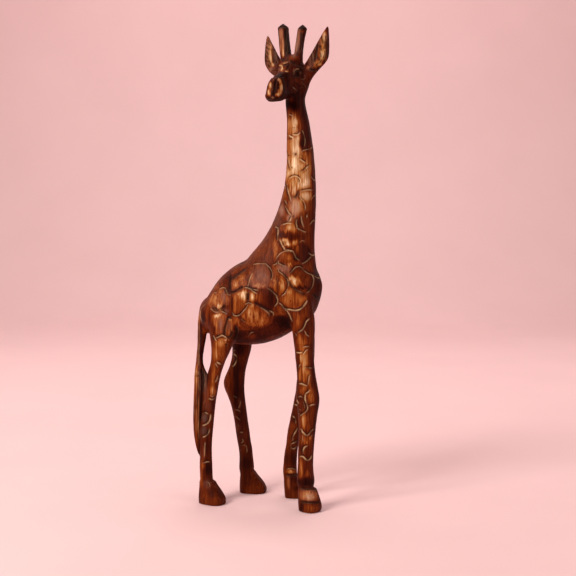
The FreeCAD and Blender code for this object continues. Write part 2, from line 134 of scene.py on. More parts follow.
# The cuts lie on a sheet seen in the main view: across and height.
BODY_CUTS = [
    # neck, upper half
    (LIGHT, (44, 550), (49, 548)), (HOLE, (46, 545), (46.6, 545)), (FAINT, (49, 529), (54, 529)),
    (LIGHT, (50, 521), (56, 520.5), (60, 524)), (HOLE, (57.5, 524), (58, 524)),
    (LIGHT, (44.5, 520), (47, 518), (49, 517), (50, 514)), (HOLE, (46, 515), (46, 514)),
    (FAINT, (63, 527), (66, 520), (67.5, 512), (66.5, 504)), (LIGHT, (62.5, 497), (67, 499), (73, 500)),
    (DARK, (52, 493), (55, 491)), (CRACK, (62, 494), (65, 488)),
    (THICK, (60, 486), (64, 483), (67.5, 480.5)),
    (THICK, (61.5, 467.5), (66, 470), (70, 474), (73.5, 476.5)),
    (LIGHT, (44, 486), (44.5, 480), (46, 474), (49.5, 471)), (HOLE, (43.5, 490), (43.5, 491)),
    (THICK, (45, 458), (49, 461), (54, 461.5), (58.5, 459), (60.5, 455), (60, 451)),
    # neck, lower half
    (LIGHT, (41.5, 450), (42.5, 443), (44, 436), (46, 429), (47, 425)),
    (LIGHT, (38, 427), (40, 423), (42, 419)), (LIGHT, (39, 418), (42, 412), (45, 408), (48.5, 405)),
    (THICK, (48, 404), (46.5, 400), (45, 396.5)), (HOLE, (51, 404), (51, 403)),
    (DARK, (50, 431), (54, 431), (56, 434), (58, 438), (60, 440)),
    (THICK, (61, 440), (66, 441), (72, 442), (77, 441.5)),
    (LIGHT, (59, 433), (62, 429), (65, 425), (67, 420), (67.5, 415), (67, 413)),
    (HOLE, (62, 408), (62, 407.4)), (HOLE, (70, 408), (70, 407.4)), (HOLE, (55, 400), (55, 399)),
    (THICK, (61.5, 404), (62, 398), (63.5, 392), (65, 388.5)), (LIGHT, (70, 405.5), (69.5, 402)),
    (THICK, (55, 399), (54.5, 394), (56, 388), (60, 385), (64, 383), (67.5, 381.5)),
    (LIGHT, (34, 391.5), (38, 393), (43, 394), (48, 393.5)),
    (LIGHT, (25, 389), (28, 387), (28.5, 382), (28, 375), (28, 370)),
    # shoulder
    (THICK, (31, 370), (33, 365), (35.5, 360), (38.5, 355.5)), (EDGE, (36, 369), (37.5, 365), (39, 362)),
    (THICK, (38.5, 355), (42, 355.5), (46, 355), (50, 353.5)),
    (FAINT, (26, 343), (30, 349), (36, 353), (44, 354)), (EDGE, (50, 354), (52, 349), (54, 345), (59, 341)),
    (EDGE, (63, 336), (67, 338), (71, 341), (76, 346)), (FAINT, (59, 366), (63, 369), (67, 368)),
    (HOLE, (28, 343), (28.6, 343)), (EDGE, (29, 340), (29.5, 337), (33, 335), (36, 333.5), (40, 332.5)),
    (EDGE, (22, 334), (26, 336), (28, 339)),
    (EDGE, (11, 336), (16, 331), (19.5, 325), (20.5, 319), (19, 313)),
    (FAINT, (-7, 335), (0, 336), (12, 336)),
    (EDGE, (28, 329), (30, 325), (35, 321), (39, 317), (42, 313), (43.5, 306), (41.5, 299), (38, 293),
     (34, 290)),
    (EDGE, (46, 322), (49, 326), (53, 330.5), (57, 332), (61, 331.5), (64, 328)),
    (EDGE, (64, 328), (68, 324.5), (73, 321.5), (77, 320), (79, 315), (79, 309), (77, 302), (73, 297),
     (70, 294)),
    (DARK, (44, 312), (47, 307), (50, 302), (55, 297), (60, 294), (67, 290)),
    (FAINT, (52, 300), (58, 297), (64, 294)), (EDGE, (14, 301), (18, 298), (22, 295), (28, 289)),
    (CRACK, (28, 320), (28.5, 305), (29, 290)),
    # flank
    (DARK, (-36, 312), (-33, 316), (-28, 320), (-24, 323), (-17, 328)),
    (DARK, (-38, 318), (-39, 310), (-40, 297)),
    (DARK, (-42, 300), (-41, 296), (-38, 294.5), (-34, 295), (-30, 297), (-27, 299), (-24, 301),
     (-20, 302)),
    (EDGE, (-20, 302), (-15, 301.5), (-10, 299), (-5, 295), (-2, 293.5)),
    (EDGE, (-12, 302), (-8, 299.5), (0, 298)), (FAINT, (-8, 322), (-12, 314), (-14, 306), (-15.5, 303)),
    (EDGE, (-55, 300), (-49, 302), (-46, 298), (-44, 293), (-40, 291)), (EDGE, (-62, 295), (-60, 294)),
    (VALLEY, (-15, 295), (-14.5, 288), (-14.5, 283)), (CRACK, (-38, 289), (-37, 280), (-36, 270)),
    # haunch and belly
    (DARK, (-54, 269), (-50, 272.5), (-46, 277)), (DARK, (-64, 275), (-61, 271), (-57, 268), (-55, 267)),
    (FAINT, (-68, 272), (-62, 267), (-57, 266.5)), (EDGE, (-53, 268), (-48, 266), (-45, 264)),
    (DARK, (-39, 259.5), (-43, 257), (-45, 250), (-47, 242), (-47.5, 233)),
    (EDGE, (-43, 257.5), (-39, 256)), (DARK, (-36, 240), (-38, 234), (-42, 230), (-45, 229.5)),
    (THICK, (-60, 230), (-56, 231.5), (-52, 233.5), (-48, 232), (-45, 229.5)),
    (EDGE, (-64, 233), (-62, 229), (-59, 225)),
    (EDGE, (-37, 266), (-35, 263), (-32, 261.5), (-28, 262), (-25, 264), (-22, 267), (-17, 273),
     (-15, 277)),
    (EDGE, (-24, 257), (-21, 254), (-19, 252)), (EDGE, (-18, 278), (-14, 280), (-10, 279), (-8, 276)),
    (DARK, (-5, 279), (0, 277.5), (6, 274), (12, 270), (17, 266)),
    (FAINT, (-2, 276), (5, 272.5), (11, 268.5), (16, 264)),
    (DARK, (-31, 246), (-29, 240), (-31, 232), (-35, 225)), (FAINT, (-14, 232), (-10, 237), (-6, 238)),
    (EDGE, (16, 269), (21, 266), (22, 262)), (EDGE, (15, 264), (16, 260)),
    # chest and the top of the front leg
    (THICK, (34, 276), (38, 272), (45, 270.5), (52, 269.5), (58, 270), (63, 273), (67, 278), (70, 283)),
    (LIGHT, (30, 280), (34, 277), (39, 271), (42, 267), (45, 262), (47, 257), (49, 253)),
    (LIGHT, (26, 289), (28, 284), (27, 279), (24, 275)), (THICK, (57, 237.5), (60, 239.5), (64, 242)),
    (LIGHT, (64, 242), (67, 248), (69, 253), (73, 257)), (FAINT, (66, 240), (69, 235), (73, 232)),
    (LIGHT, (53, 236), (55, 233)),
]
FRONT_RIGHT_CUTS = [
    (LIGHT, (65, 216.5), (69, 217.5), (73, 217.5)), (LIGHT, (65, 206), (68, 211), (71, 213)),
    (LIGHT, (55, 209), (59, 208.5), (63, 209)), (LIGHT, (57.5, 186), (58.5, 189), (60, 191.5)),
    (LIGHT, (67, 187), (72, 187), (77, 186.5)), (LIGHT, (71.5, 163), (72.5, 170), (73, 174), (74.5, 177)),
    (THICK, (58.5, 164.5), (62, 164.3), (66, 162.8), (70, 161)),
    (LIGHT, (73.5, 155), (72, 152.5), (69.5, 151), (67.5, 149)),
    (THICK, (67.5, 149), (67, 143), (68.3, 138), (70.3, 132), (70.5, 128), (68, 124), (64, 121),
     (60.5, 118.5)),
    (FAINT, (65, 138), (66, 133), (67, 129)), (LIGHT, (58.5, 145.5), (61, 146), (63, 144.5)),
    (HOLE, (60.5, 142.3), (61, 142)), (LIGHT, (53.5, 143), (55, 140), (57.5, 136)),
    (LIGHT, (74, 132.5), (77, 134), (81, 134.5)), (LIGHT, (55, 123), (57, 121.5), (58.5, 121)),
    (FAINT, (61, 126), (59, 128)), (LIGHT, (52, 105), (54, 104.5), (56, 103.5)),
    (THICK, (61, 99), (64, 95), (67, 92), (70, 89.5)), (LIGHT, (70, 89.5), (73, 92), (76, 96), (79, 99)),
    (FAINT, (64, 89), (63.5, 85), (64.5, 81)),
    (THICK, (70, 75), (67.5, 74), (65.5, 72), (64.5, 69), (64.5, 65)),
    (THICK, (60, 60), (64, 60), (66.5, 58), (69, 55.5), (71.5, 54)),
    (LIGHT, (71.5, 54), (75, 57), (77, 61)), (DARK, (61.5, -5), (70, -6.4), (80, -6.6), (88, -7)),
    (FAINT, (76, 88), (78, 92)), (DARK, (60, 14), (72, 13), (86, 12)),
]
FRONT_LEFT_CUTS = [
    (LIGHT, (56.5, 101), (54, 96), (51, 91), (49.5, 87), (49.5, 83)),
    (THICK, (47.5, 77.5), (50, 79), (53, 80.5), (56, 82)),
    (LIGHT, (46, 75), (48, 72), (50.5, 71), (53, 72), (55.5, 75)), (DARK, (41, 33.6), (47, 32.8), (54, 34)),
    (FAINT, (42, 42), (48, 43), (54, 41)), (LIGHT, (50, 118), (53, 114), (54, 108)),
    (LIGHT, (57, 160), (60, 155), (60, 148)), (LIGHT, (55, 205), (60, 202), (66, 204)),
    (FAINT, (58, 182), (61, 178), (66, 177)), (LIGHT, (52, 135), (57, 133), (61, 136)),
]
HIND_RIGHT_CUTS = [
    (DARK, (-45, 222), (-45, 218)), (THICK, (-59, 195), (-56, 193.5), (-53, 192)),
    (FAINT, (-61, 193), (-59, 189), (-57, 186)), (LIGHT, (-57.5, 176), (-59, 171), (-61, 167)),
    (LIGHT, (-70, 143), (-66, 141.5), (-63, 143), (-60.5, 147)),
    (FAINT, (-68, 148), (-65, 145.5), (-62.5, 149)), (LIGHT, (-79, 150), (-80, 143), (-80, 137)),
    (FAINT, (-76, 165), (-77.5, 155)), (LIGHT, (-79, 121), (-77, 122.5), (-75, 123), (-72, 121)),
    (THICK, (-68, 120), (-69, 113), (-72, 108), (-76, 105.5), (-79, 104.5)),
    (LIGHT, (-70, 100), (-70, 96), (-72, 92), (-75, 89.5), (-79, 87.5)),
    (FAINT, (-76, 80), (-76.5, 72), (-77, 60)), (LIGHT, (-80, 50.5), (-76, 51.5), (-72, 52.5), (-69.5, 52)),
    (FAINT, (-73, 25), (-70, 21), (-69, 17)),
]
HIND_LEFT_CUTS = [
    (FAINT, (-36, 211), (-33, 212)),
    (LIGHT, (-35, 207), (-32, 204), (-31, 200), (-32, 195), (-34, 191), (-36.5, 189)),
    (FAINT, (-35, 147), (-32, 145), (-30, 144)), (FAINT, (-25, 139), (-26, 134), (-28, 129)),
    (FAINT, (-33, 127), (-28, 126), (-25.5, 124)), (FAINT, (-32, 118), (-28, 114), (-26, 111)),
    (FAINT, (-29, 105), (-28, 101)), (LIGHT, (-25.5, 94.5), (-22, 94.5)),
    (LIGHT, (-23, 85), (-21.5, 82), (-24, 79)), (FAINT, (-25, 75), (-18, 76), (-16, 70), (-16, 66)),
]
TAIL_CUTS = [
    (HAIR, (-85.5, 262), (-84, 240), (-84.6, 215), (-84.8, 190)),
    (HAIR, (-88.5, 185), (-88, 150), (-88, 120), (-87, 95)),
    (HAIR, (-85.6, 182), (-85, 150), (-85.5, 118), (-85, 84)),
    (HAIR, (-90.8, 175), (-91.4, 150), (-91, 125), (-89, 98)),
    (HAIR, (-83.5, 160), (-83.5, 135), (-83.3, 110), (-83.5, 84)), (HOLE, (-86.2, 176), (-86, 174)),
    # The valley between the tail and the leg is blackened inside: painted shade in the gap.
    (VALLEY, (-80.6, 186), (-80.8, 168), (-81.4, 140), (-81.8, 115), (-82, 90), (-83, 62)),
    (DARK, (-77.8, 182), (-77.4, 168), (-78.6, 152)), (HAIR, (-73.4, 180), (-73.6, 166), (-74.6, 152)),
]
HEAD_CUTS = [
    # muzzle: the groove between its halves, the nostril and the lip
    (GROOVE, (26.8, 600), (24.8, 595), (23, 588), (22.3, 581), (22.5, 576), (23.5, 573)),
    (SLIT, (29.6, 595.5), (29.2, 591), (28.6, 585.5)),
    (DARK, (36, 600), (37.6, 592), (37.6, 585), (35.5, 578), (31, 572.5)),
    (DARK, (12, 573.5), (18, 571.2), (26, 570), (36, 570.5)),
    (DARK, (20, 602.5), (25, 603.6), (31, 603.2), (38, 603.5)),
    (CRACK, (20.2, 598), (20.6, 590), (19.6, 581)),
    # eye
    (DARK, (50.5, 607), (53, 611), (57, 613), (61, 611.2), (63, 608)),
    (PAINTED_GLEAM, (50.6, 607.6), (52.2, 611.6), (55, 614.4), (58.6, 614.6)),
    (DARK, (51.5, 606.2), (54.5, 604.4), (58.5, 604), (62, 606.4)), (HAIR, (61, 601), (65, 600), (68, 602)),
    # brow and cheek
    (PAINTED_GLEAM, (29, 619.8), (31.5, 620.2), (34.2, 618.6), (34.6, 615), (33, 612.6)),
    (DARK, (29.5, 617), (32, 616)), (PAINTED_GLEAM, (36.4, 621.4), (39.4, 623), (43.4, 625.6)),
    (DARK, (33, 628), (36, 626), (38, 624)), (PAINTED_GLEAM, (39, 611.6), (42.6, 610.6)),
    (DARK, (36, 618.6), (40, 619.4), (43, 621)), (DARK, (36.6, 631), (38, 627.6)),
    (DARK, (45.4, 624), (44, 618), (41.6, 613.6)), (FAINT, (49.4, 589), (53, 586.2), (56.4, 583.6)),
    (HAIR, (46, 592), (49, 589.6)), (HAIR, (61, 588), (64.5, 588)),
    (DARK, (44, 626), (50, 622.6), (54, 621.6)), (STROKE, (47, 600), (44, 594), (44, 588)),
    (STROKE, (42, 584), (46, 579), (52, 574)), (STROKE, (52, 597), (56, 592), (61, 588)),
    (STROKE, (60, 585), (56, 579), (50, 577)), (HAIR, (62, 596), (66, 592), (68, 588)),
    (DARK, (57, 620), (61, 617.6), (64, 613)),
]
EAR_CUTS = [
    (STROKE, (12, 654), (15, 650), (18, 647)), (STROKE, (11.6, 648), (14.4, 644), (17, 641)),
    (STROKE, (11.4, 642), (14, 638), (16, 635)), (STROKE, (11.2, 635.6), (13.6, 632), (15.6, 629)),
    (STROKE, (11.6, 629), (13.6, 625.6), (16, 623)), (STROKE, (12.6, 622), (15, 619), (17.4, 617)),
    (STROKE, (15, 657), (17, 653), (19, 651)), (STROKE, (16.2, 628), (17.8, 624), (19.6, 620)),
    (DARK, (21.6, 645), (22.2, 634), (23.6, 622)), (HAIR, (24.6, 642), (25.6, 632), (27.6, 622)),
    (DARK, (98.2, 664), (98.8, 648), (98.2, 634), (94, 622)), (DARK, (80.8, 624), (84, 638), (86.5, 651)),
    (STROKE, (91, 664), (92.6, 656), (93.4, 650)), (STROKE, (88, 650), (90.4, 645), (92, 640)),
    (STROKE, (95.6, 656), (96, 648), (94.6, 642)), (STROKE, (88, 640), (90.2, 636), (91, 630)),
    (STROKE, (96.6, 642), (96, 635), (93.6, 628)), (STROKE, (85.6, 633), (87.6, 629), (88.4, 625)),
    (STROKE, (92.4, 630), (90.4, 625), (87, 621)), (STROKE, (83, 624), (85, 620), (85.4, 617)),
    (STROKE, (80, 619), (82, 615.4)), (HOLE, (90, 647), (90.4, 646)), (HOLE, (95.6, 645), (96, 644)),
    (HAIR, (77, 640), (79, 630), (81, 622)), (DARK, (73, 614), (78, 612.4), (84, 612.6)),
]
HORN_CUTS = [
    (HAIR, (30.6, 668), (31, 652), (31.6, 640)), (HAIR, (38, 666), (39, 650), (41, 634)),
    (DARK, (39.5, 672), (40, 655), (42, 638)), (HAIR, (56.6, 664), (56, 650), (55, 640)),
    (DARK, (62.6, 668), (62, 655), (61, 640)), (DARK, (29, 674), (34, 675.5), (42, 674)),
    (DARK, (57, 671.5), (62, 673), (68, 671)),
]
# Cuts on faces that the main view doesn't reach. Behind, ahead and on the legs' rear: sideways and height.
# Above: ahead and sideways.
BEHIND_CUTS = [
    (LIGHT, (-25, 300), (-15, 308), (-3, 310), (6, 305)),
    (LIGHT, (8, 322), (16, 314), (24, 302), (27, 290)),
    (LIGHT, (-30, 285), (-22, 276), (-20, 262), (-26, 250)),
    (DARK, (12, 290), (20, 282), (22, 268), (15, 256)), (LIGHT, (-8, 296), (-2, 288), (8, 286)),
    (FAINT, (28, 262), (33, 252), (31, 240)), (LIGHT, (-12, 392), (-4, 398), (5, 397), (12, 390)),
    (DARK, (-10, 420), (-3, 414), (6, 416), (12, 424)), (THICK, (8, 440), (2, 448), (-6, 450), (-13, 445)),
    (LIGHT, (-9, 470), (-1, 476), (9, 472)), (LIGHT, (10, 492), (3, 498), (-5, 496), (-11, 489)),
    (FAINT, (-8, 520), (0, 514), (9, 518)), (FAINT, (-7, 542), (1, 546), (8, 541)),
    (LIGHT, (-14, 372), (-6, 366), (4, 364), (13, 368)),
]
AHEAD_CUTS = [
    (LIGHT, (-16, 330), (-8, 322), (2, 320), (12, 326)), (DARK, (-20, 300), (-9, 292), (3, 291), (16, 298)),
    (FAINT, (-8, 275), (0, 268), (9, 272)), (LIGHT, (-10, 395), (-2, 401), (8, 398)),
    (FAINT, (-9, 430), (0, 436), (10, 431)), (LIGHT, (9, 462), (0, 457), (-9, 463)),
    (FAINT, (-8, 498), (1, 503), (8, 497)), (LIGHT, (-15, 358), (-4, 352), (8, 354)),
]
ABOVE_CUTS = [
    (LIGHT, (-52, -4), (-46, 4), (-36, 7), (-28, 2)), (DARK, (-20, 10), (-12, 3), (-13, -6), (-20, -12)),
    (LIGHT, (-40, -14), (-32, -10), (-25, -15)), (LIGHT, (-8, 16), (0, 10), (6, 1), (5, -8)),
    (FAINT, (-45, 18), (-35, 16), (-28, 22)), (FAINT, (-66, 6), (-60, -2), (-62, -10)),
]
LEG_REAR_CUTS = [
    (LIGHT, (-6, 205), (0, 209), (6, 205)), (LIGHT, (-5, 181), (1, 175), (4, 166)),
    (FAINT, (5, 151), (-1, 146), (-5, 138)), (LIGHT, (-6, 118), (0, 113), (6, 117)),
    (FAINT, (-4, 96), (2, 90), (3, 80)), (LIGHT, (5, 62), (0, 58), (-5, 61)),
]

# ---- cells of the coat: tone, strength, painted sheen (a greyish highlight laid into the colour), and the outline ----
BODY_CELLS = [
    (0.4, 0.9, 0,
     ((-38, 326), (-30, 330), (-20, 334), (-14, 333), (-13, 323), (-20, 326), (-30, 320), (-36, 316))),
    (0.61, 0.9, 0,
     ((-37, 313), (-28, 320), (-19, 326), (-18, 316), (-16, 304), (-22, 302), (-28, 300), (-33, 297),
      (-38, 299))),
    (0.27, 0.9, 0, ((-46, 325), (-39, 326), (-38, 299), (-43, 301), (-47, 310))),
    (0.44, 0.8, 0.1,
     ((-12, 330), (0, 335), (12, 335), (18, 328), (20, 318), (18, 310), (12, 304), (2, 301), (-6, 302),
      (-13, 306), (-12, 318))),
    (0.57, 1, 0,
     ((-40, 292), (-34, 295), (-28, 299), (-22, 302), (-14, 301), (-6, 296), (-1, 292), (-4, 284),
      (-10, 280), (-16, 279), (-20, 272), (-26, 263), (-32, 262), (-37, 268), (-40, 280))),
    (0.58, 0.9, 0,
     ((-20, 271), (-16, 278), (-10, 279), (-4, 277), (4, 274), (12, 270), (17, 266), (16, 258), (14, 250),
      (4, 246), (-8, 246), (-16, 250), (-22, 256), (-25, 262))),
    (0.25, 1, 0,
     ((0, 296), (6, 300), (13, 300), (20, 296), (26, 290), (28, 283), (26, 277), (20, 270), (17, 267),
      (8, 271), (0, 276), (-3, 279), (-1, 288))),
    (0.62, 0.9, 0,
     ((20, 334), (26, 338), (29, 328), (36, 320), (42, 312), (42, 304), (38, 296), (32, 290), (28, 292),
      (22, 300), (16, 304), (19, 312), (21, 320))),
    (0.5, 0.8, 0.2,
     ((26, 338), (32, 336), (40, 333), (46, 332), (48, 326), (46, 320), (43, 314), (38, 318), (31, 324),
      (28, 330))),
    (0.34, 1, 0,
     ((48, 325), (54, 331), (60, 332), (66, 327), (74, 322), (79, 316), (79, 306), (75, 298), (70, 295),
      (62, 299), (54, 302), (48, 306), (44, 311), (45, 318))),
    (0.59, 1, 0,
     ((44, 306), (50, 301), (58, 296), (66, 291), (70, 286), (68, 279), (62, 274), (54, 271), (46, 271),
      (38, 274), (32, 279), (31, 287), (36, 292), (40, 299))),
    (0.47, 1, 0,
     ((28, 342), (32, 348), (38, 352), (46, 353), (51, 351), (54, 345), (57, 341), (52, 338), (46, 334),
      (40, 333), (34, 335))),
    (0.23, 0.9, 0,
     ((56, 368), (62, 366), (70, 362), (76, 356), (76, 348), (70, 341), (62, 338), (57, 341), (53, 348),
      (51, 355), (52, 362))),
    (0.56, 0.9, 0.1,
     ((-68, 290), (-62, 296), (-55, 299), (-47, 301), (-43, 294), (-41, 286), (-42, 276), (-47, 276),
      (-53, 270), (-60, 268), (-68, 272), (-72, 280))),
    (0.6, 0.9, 0.1,
     ((-66, 262), (-60, 265), (-54, 266), (-47, 264), (-43, 258), (-46, 248), (-48, 238), (-49, 232),
      (-56, 232), (-60, 236), (-63, 246))),
    (0.34, 0.9, 0,
     ((-72, 268), (-67, 266), (-64, 252), (-62, 240), (-60, 231), (-65, 232), (-68, 244), (-70, 256))),
    (0.62, 1, 0.1,
     ((-43, 257), (-38, 257), (-36, 250), (-36, 240), (-39, 233), (-44, 231), (-46, 240), (-45, 250))),
    (0.58, 0.9, 0, ((-36, 262), (-30, 260), (-26, 256), (-26, 246), (-31, 246), (-35, 250))),
    (0.41, 0.9, 0,
     ((42, 268), (48, 269), (58, 268), (66, 272), (70, 280), (74, 270), (74, 256), (70, 250), (66, 244),
      (58, 240), (52, 245), (49, 254), (46, 262))),
    (0.52, 0.9, 0, ((30, 277), (36, 273), (42, 266), (40, 262), (34, 262), (30, 268))),
    (0.15, 0.9, 0,
     ((24, 262), (46, 258), (46, 244), (30, 236), (10, 228), (-20, 222), (-32, 224), (-34, 236), (-26, 240),
      (-10, 240), (10, 244), (20, 250))),
]

# ---- stain: across, height, half sizes, tone (0 burnt black, 1 bare cream wood), strength ----
# A stain with a painted sheen, a greyish highlight laid into the colour, has its amount as its last number.
# The palest body stains, such as the golden spots on the flank and the shoulder, are pale wood with painted
# highlights in them.
BODY_STAINS = [
    (5, 320, 8, 13, 0.42, 0.6, 0.48), (2, 308, 9, 6, 0.5, 0.5, 0.25), (13, 312, 3, 10, 0.34, 0.6, 0.2),
    (36, 328, 7, 4.5, 0.56, 0.7, 0.75), (5, 345, 24, 10, 0.34, 0.7, 0.1), (-25, 338, 16, 6, 0.33, 0.8, 0.1),
    (-46, 312, 6, 11, 0.29, 0.8), (-33, 307, 3.6, 7, 0.68, 0.8, 0.1), (-25, 313, 3.6, 8, 0.56, 0.7),
    (-52, 303, 8, 3, 0.6, 0.8), (1, 304, 8, 3, 0.76, 0.9, 0.45), (-9, 312, 3, 9, 0.54, 0.8, 0.2),
    (24, 318, 2, 11, 0.7, 0.8, 0.1), (35, 305, 2.4, 8, 0.8, 0.9), (29.4, 312, 0.9, 12, 0.36, 0.8),
    (25, 355, 3, 17, 0.7, 0.9), (12, 368, 10, 12, 0.36, 0.7, 0.1), (-63, 284, 4.4, 5, 0.7, 0.8, 0.1),
    (-49, 288, 3.2, 8, 0.5, 0.9, 0.45), (-44.4, 291, 1.6, 7, 0.78, 0.9), (-55.5, 272, 3.6, 5.2, 1, 1, 0.1),
    (-63, 271, 3.4, 2.2, 0.52, 0.9), (-58, 262, 4.6, 2.8, 0.98, 1, 0.1),
    (-53, 249, 2.6, 7, 0.38, 0.9, 0.55), (-59, 248, 1.6, 6, 0.68, 0.9), (-46, 268, 3.4, 3.4, 0.4, 0.8, 0.4),
    (-66, 258, 2, 7, 0.58, 0.8), (-62.5, 242, 1.8, 5.5, 0.18, 0.9), (-71, 256, 2, 11, 0.26, 0.8),
    (-39.6, 255.8, 2.4, 1.5, 0.98, 1), (-41, 247, 2, 5.4, 0.42, 0.8, 0.4), (-43, 236, 1.8, 3, 0.76, 0.9),
    (-32, 277, 2.6, 11, 0.6, 0.9), (-37.4, 279, 1.5, 11, 0.18, 0.95), (-29.4, 276, 0.9, 9, 0.42, 0.8),
    (-20, 291, 5.4, 7, 1, 1), (-27, 295, 3.6, 2.6, 0.88, 0.9), (-9, 289, 2.9, 6.5, 0.97, 1),
    (-9, 277, 2.6, 3.4, 0.88, 0.9), (-14.2, 288, 1.3, 6, 0.18, 0.95, 0.3), (3, 287, 3.4, 9, 0.5, 0.9),
    (-3, 287, 1.6, 5, 0.64, 0.8), (17, 287, 6, 11, 0.15, 1), (-12, 265, 3.4, 9, 0.76, 0.9),
    (-3, 259, 2.4, 9, 0.74, 0.9), (7, 262, 2.4, 7, 0.62, 0.8), (2.4, 264, 1, 8, 0.32, 0.8),
    (-7, 262, 0.9, 8, 0.34, 0.8), (-17, 258, 1, 6, 0.36, 0.8), (36, 253, 11, 8, 0.03, 1),
    (12, 238, 20, 7, 0.2, 0.9), (-9, 231, 7, 4, 0.38, 0.8), (-27, 230, 6, 7, 0.09, 1),
    (2, 225, 22, 3, 0.15, 0.9), (-31, 242, 2.6, 7, 0.04, 0.95), (-49, 227.6, 8, 2.8, 0.94, 1),
    (-56, 214, 10, 8, 0.47, 0.95), (-62, 210, 2.4, 8, 0.8, 0.7), (-69, 220, 3, 18, 0.28, 0.8),
    (-84, 260, 2, 11, 0.68, 0.9, 0.1), (-78, 258, 2.2, 11, 0.09, 0.95), (44, 344, 3, 5, 0.62, 0.9),
    (54, 343, 3.4, 5, 0.08, 1), (33, 344, 3.4, 4, 0.44, 0.8), (45.5, 333.6, 3.6, 2, 0.8, 0.9),
    (41, 364, 5.4, 4, 0.96, 1), (52, 366, 4.4, 3.4, 0.76, 0.9), (56, 357, 2.4, 6, 0.6, 0.9),
    (69, 352, 5, 12, 0.15, 0.95), (50.5, 310, 6.6, 6.4, 1, 1), (46, 314, 3, 4, 0.92, 0.9, 0.1),
    (57.6, 310, 3.4, 5, 0.64, 0.8), (64, 301, 9, 2.4, 0.08, 0.95), (56, 322, 5, 4, 0.44, 0.8),
    (45, 298, 3.8, 5, 0.84, 0.9), (52, 290, 7, 5, 0.62, 0.7), (56, 277, 7, 3.4, 0.45, 0.8),
    # The long narrow dark stains at 85, 76 and 72 across are painted shade along the chest's right-hand edge,
    # away from the light.
    (38, 283, 4, 5, 0.58, 0.8), (47, 282, 1, 1, 0.3, 0.9), (85, 300, 5.4, 44, 0.16, 0.95),
    (76, 272, 3, 20, 0.26, 0.9), (57, 256, 2.8, 10, 0.62, 0.9), (48, 249, 2.6, 9, 0.22, 0.8),
    (72, 250, 3.6, 20, 0.3, 0.9), (60, 222, 3.6, 11, 0.74, 0.9), (53, 225, 2.6, 15, 0.26, 0.8),
    # neck; its broad golden band is pale wood with a painted highlight down it
    (54, 462, 18, 62, 0.74, 0.95), (50, 564, 20, 8, 0.02, 1), (65, 548, 9, 16, 0.12, 1),
    (69, 520, 8, 18, 0.17, 1), (59, 538, 3.2, 14, 0.44, 0.8), (45, 537, 3.6, 17, 0.68, 1),
    (45, 505, 4, 16, 0.68, 1), (52, 540, 4.2, 13, 0.97, 1), (54, 517, 5.5, 14, 0.95, 1, 0.3),
    (55.5, 497, 7, 11, 0.94, 1, 0.3), (64, 508, 4.2, 8, 0.1, 1), (69, 490, 8, 6.5, 0.6, 1),
    (51, 478, 9, 12, 0.97, 1), (66, 473, 9, 10, 0.88, 1), (43, 480, 3, 14, 0.72, 0.9),
    (50, 463, 8, 5, 0.95, 1), (65, 452, 9, 11, 0.97, 1), (50, 450, 5.5, 5.5, 0.7, 0.9),
    (52, 440, 6, 5, 0.86, 0.9, 0.2), (68, 433, 8, 9, 0.93, 1), (53, 417, 6.5, 12, 0.8, 1, 1),
    (68, 415, 6, 9, 0.58, 0.9), (39, 441, 3.5, 14, 0.52, 0.9), (34, 412, 3.5, 8, 0.4, 0.9, 0.8),
    (45, 401, 4, 4.5, 0.66, 0.9, 0.9), (60, 394, 4, 8, 0.3, 0.8), (57.5, 391, 1.8, 6, 0.08, 0.9),
    (69, 398, 5, 14, 0.4, 0.9), (44, 388, 11, 6, 0.76, 1), (34, 387, 4, 5, 0.62, 0.9),
    (48, 375.5, 19, 5, 0.2, 1), (28, 398, 5, 14, 0.24, 0.9, 0.2), (37, 369, 6, 3.5, 0.96, 1),
    # The two long narrow stains at 80 across are painted shade along the neck's right-hand rim.
    (80, 470, 2.6, 60, 0.28, 0.9), (80, 400, 2.6, 30, 0.24, 0.9),
]
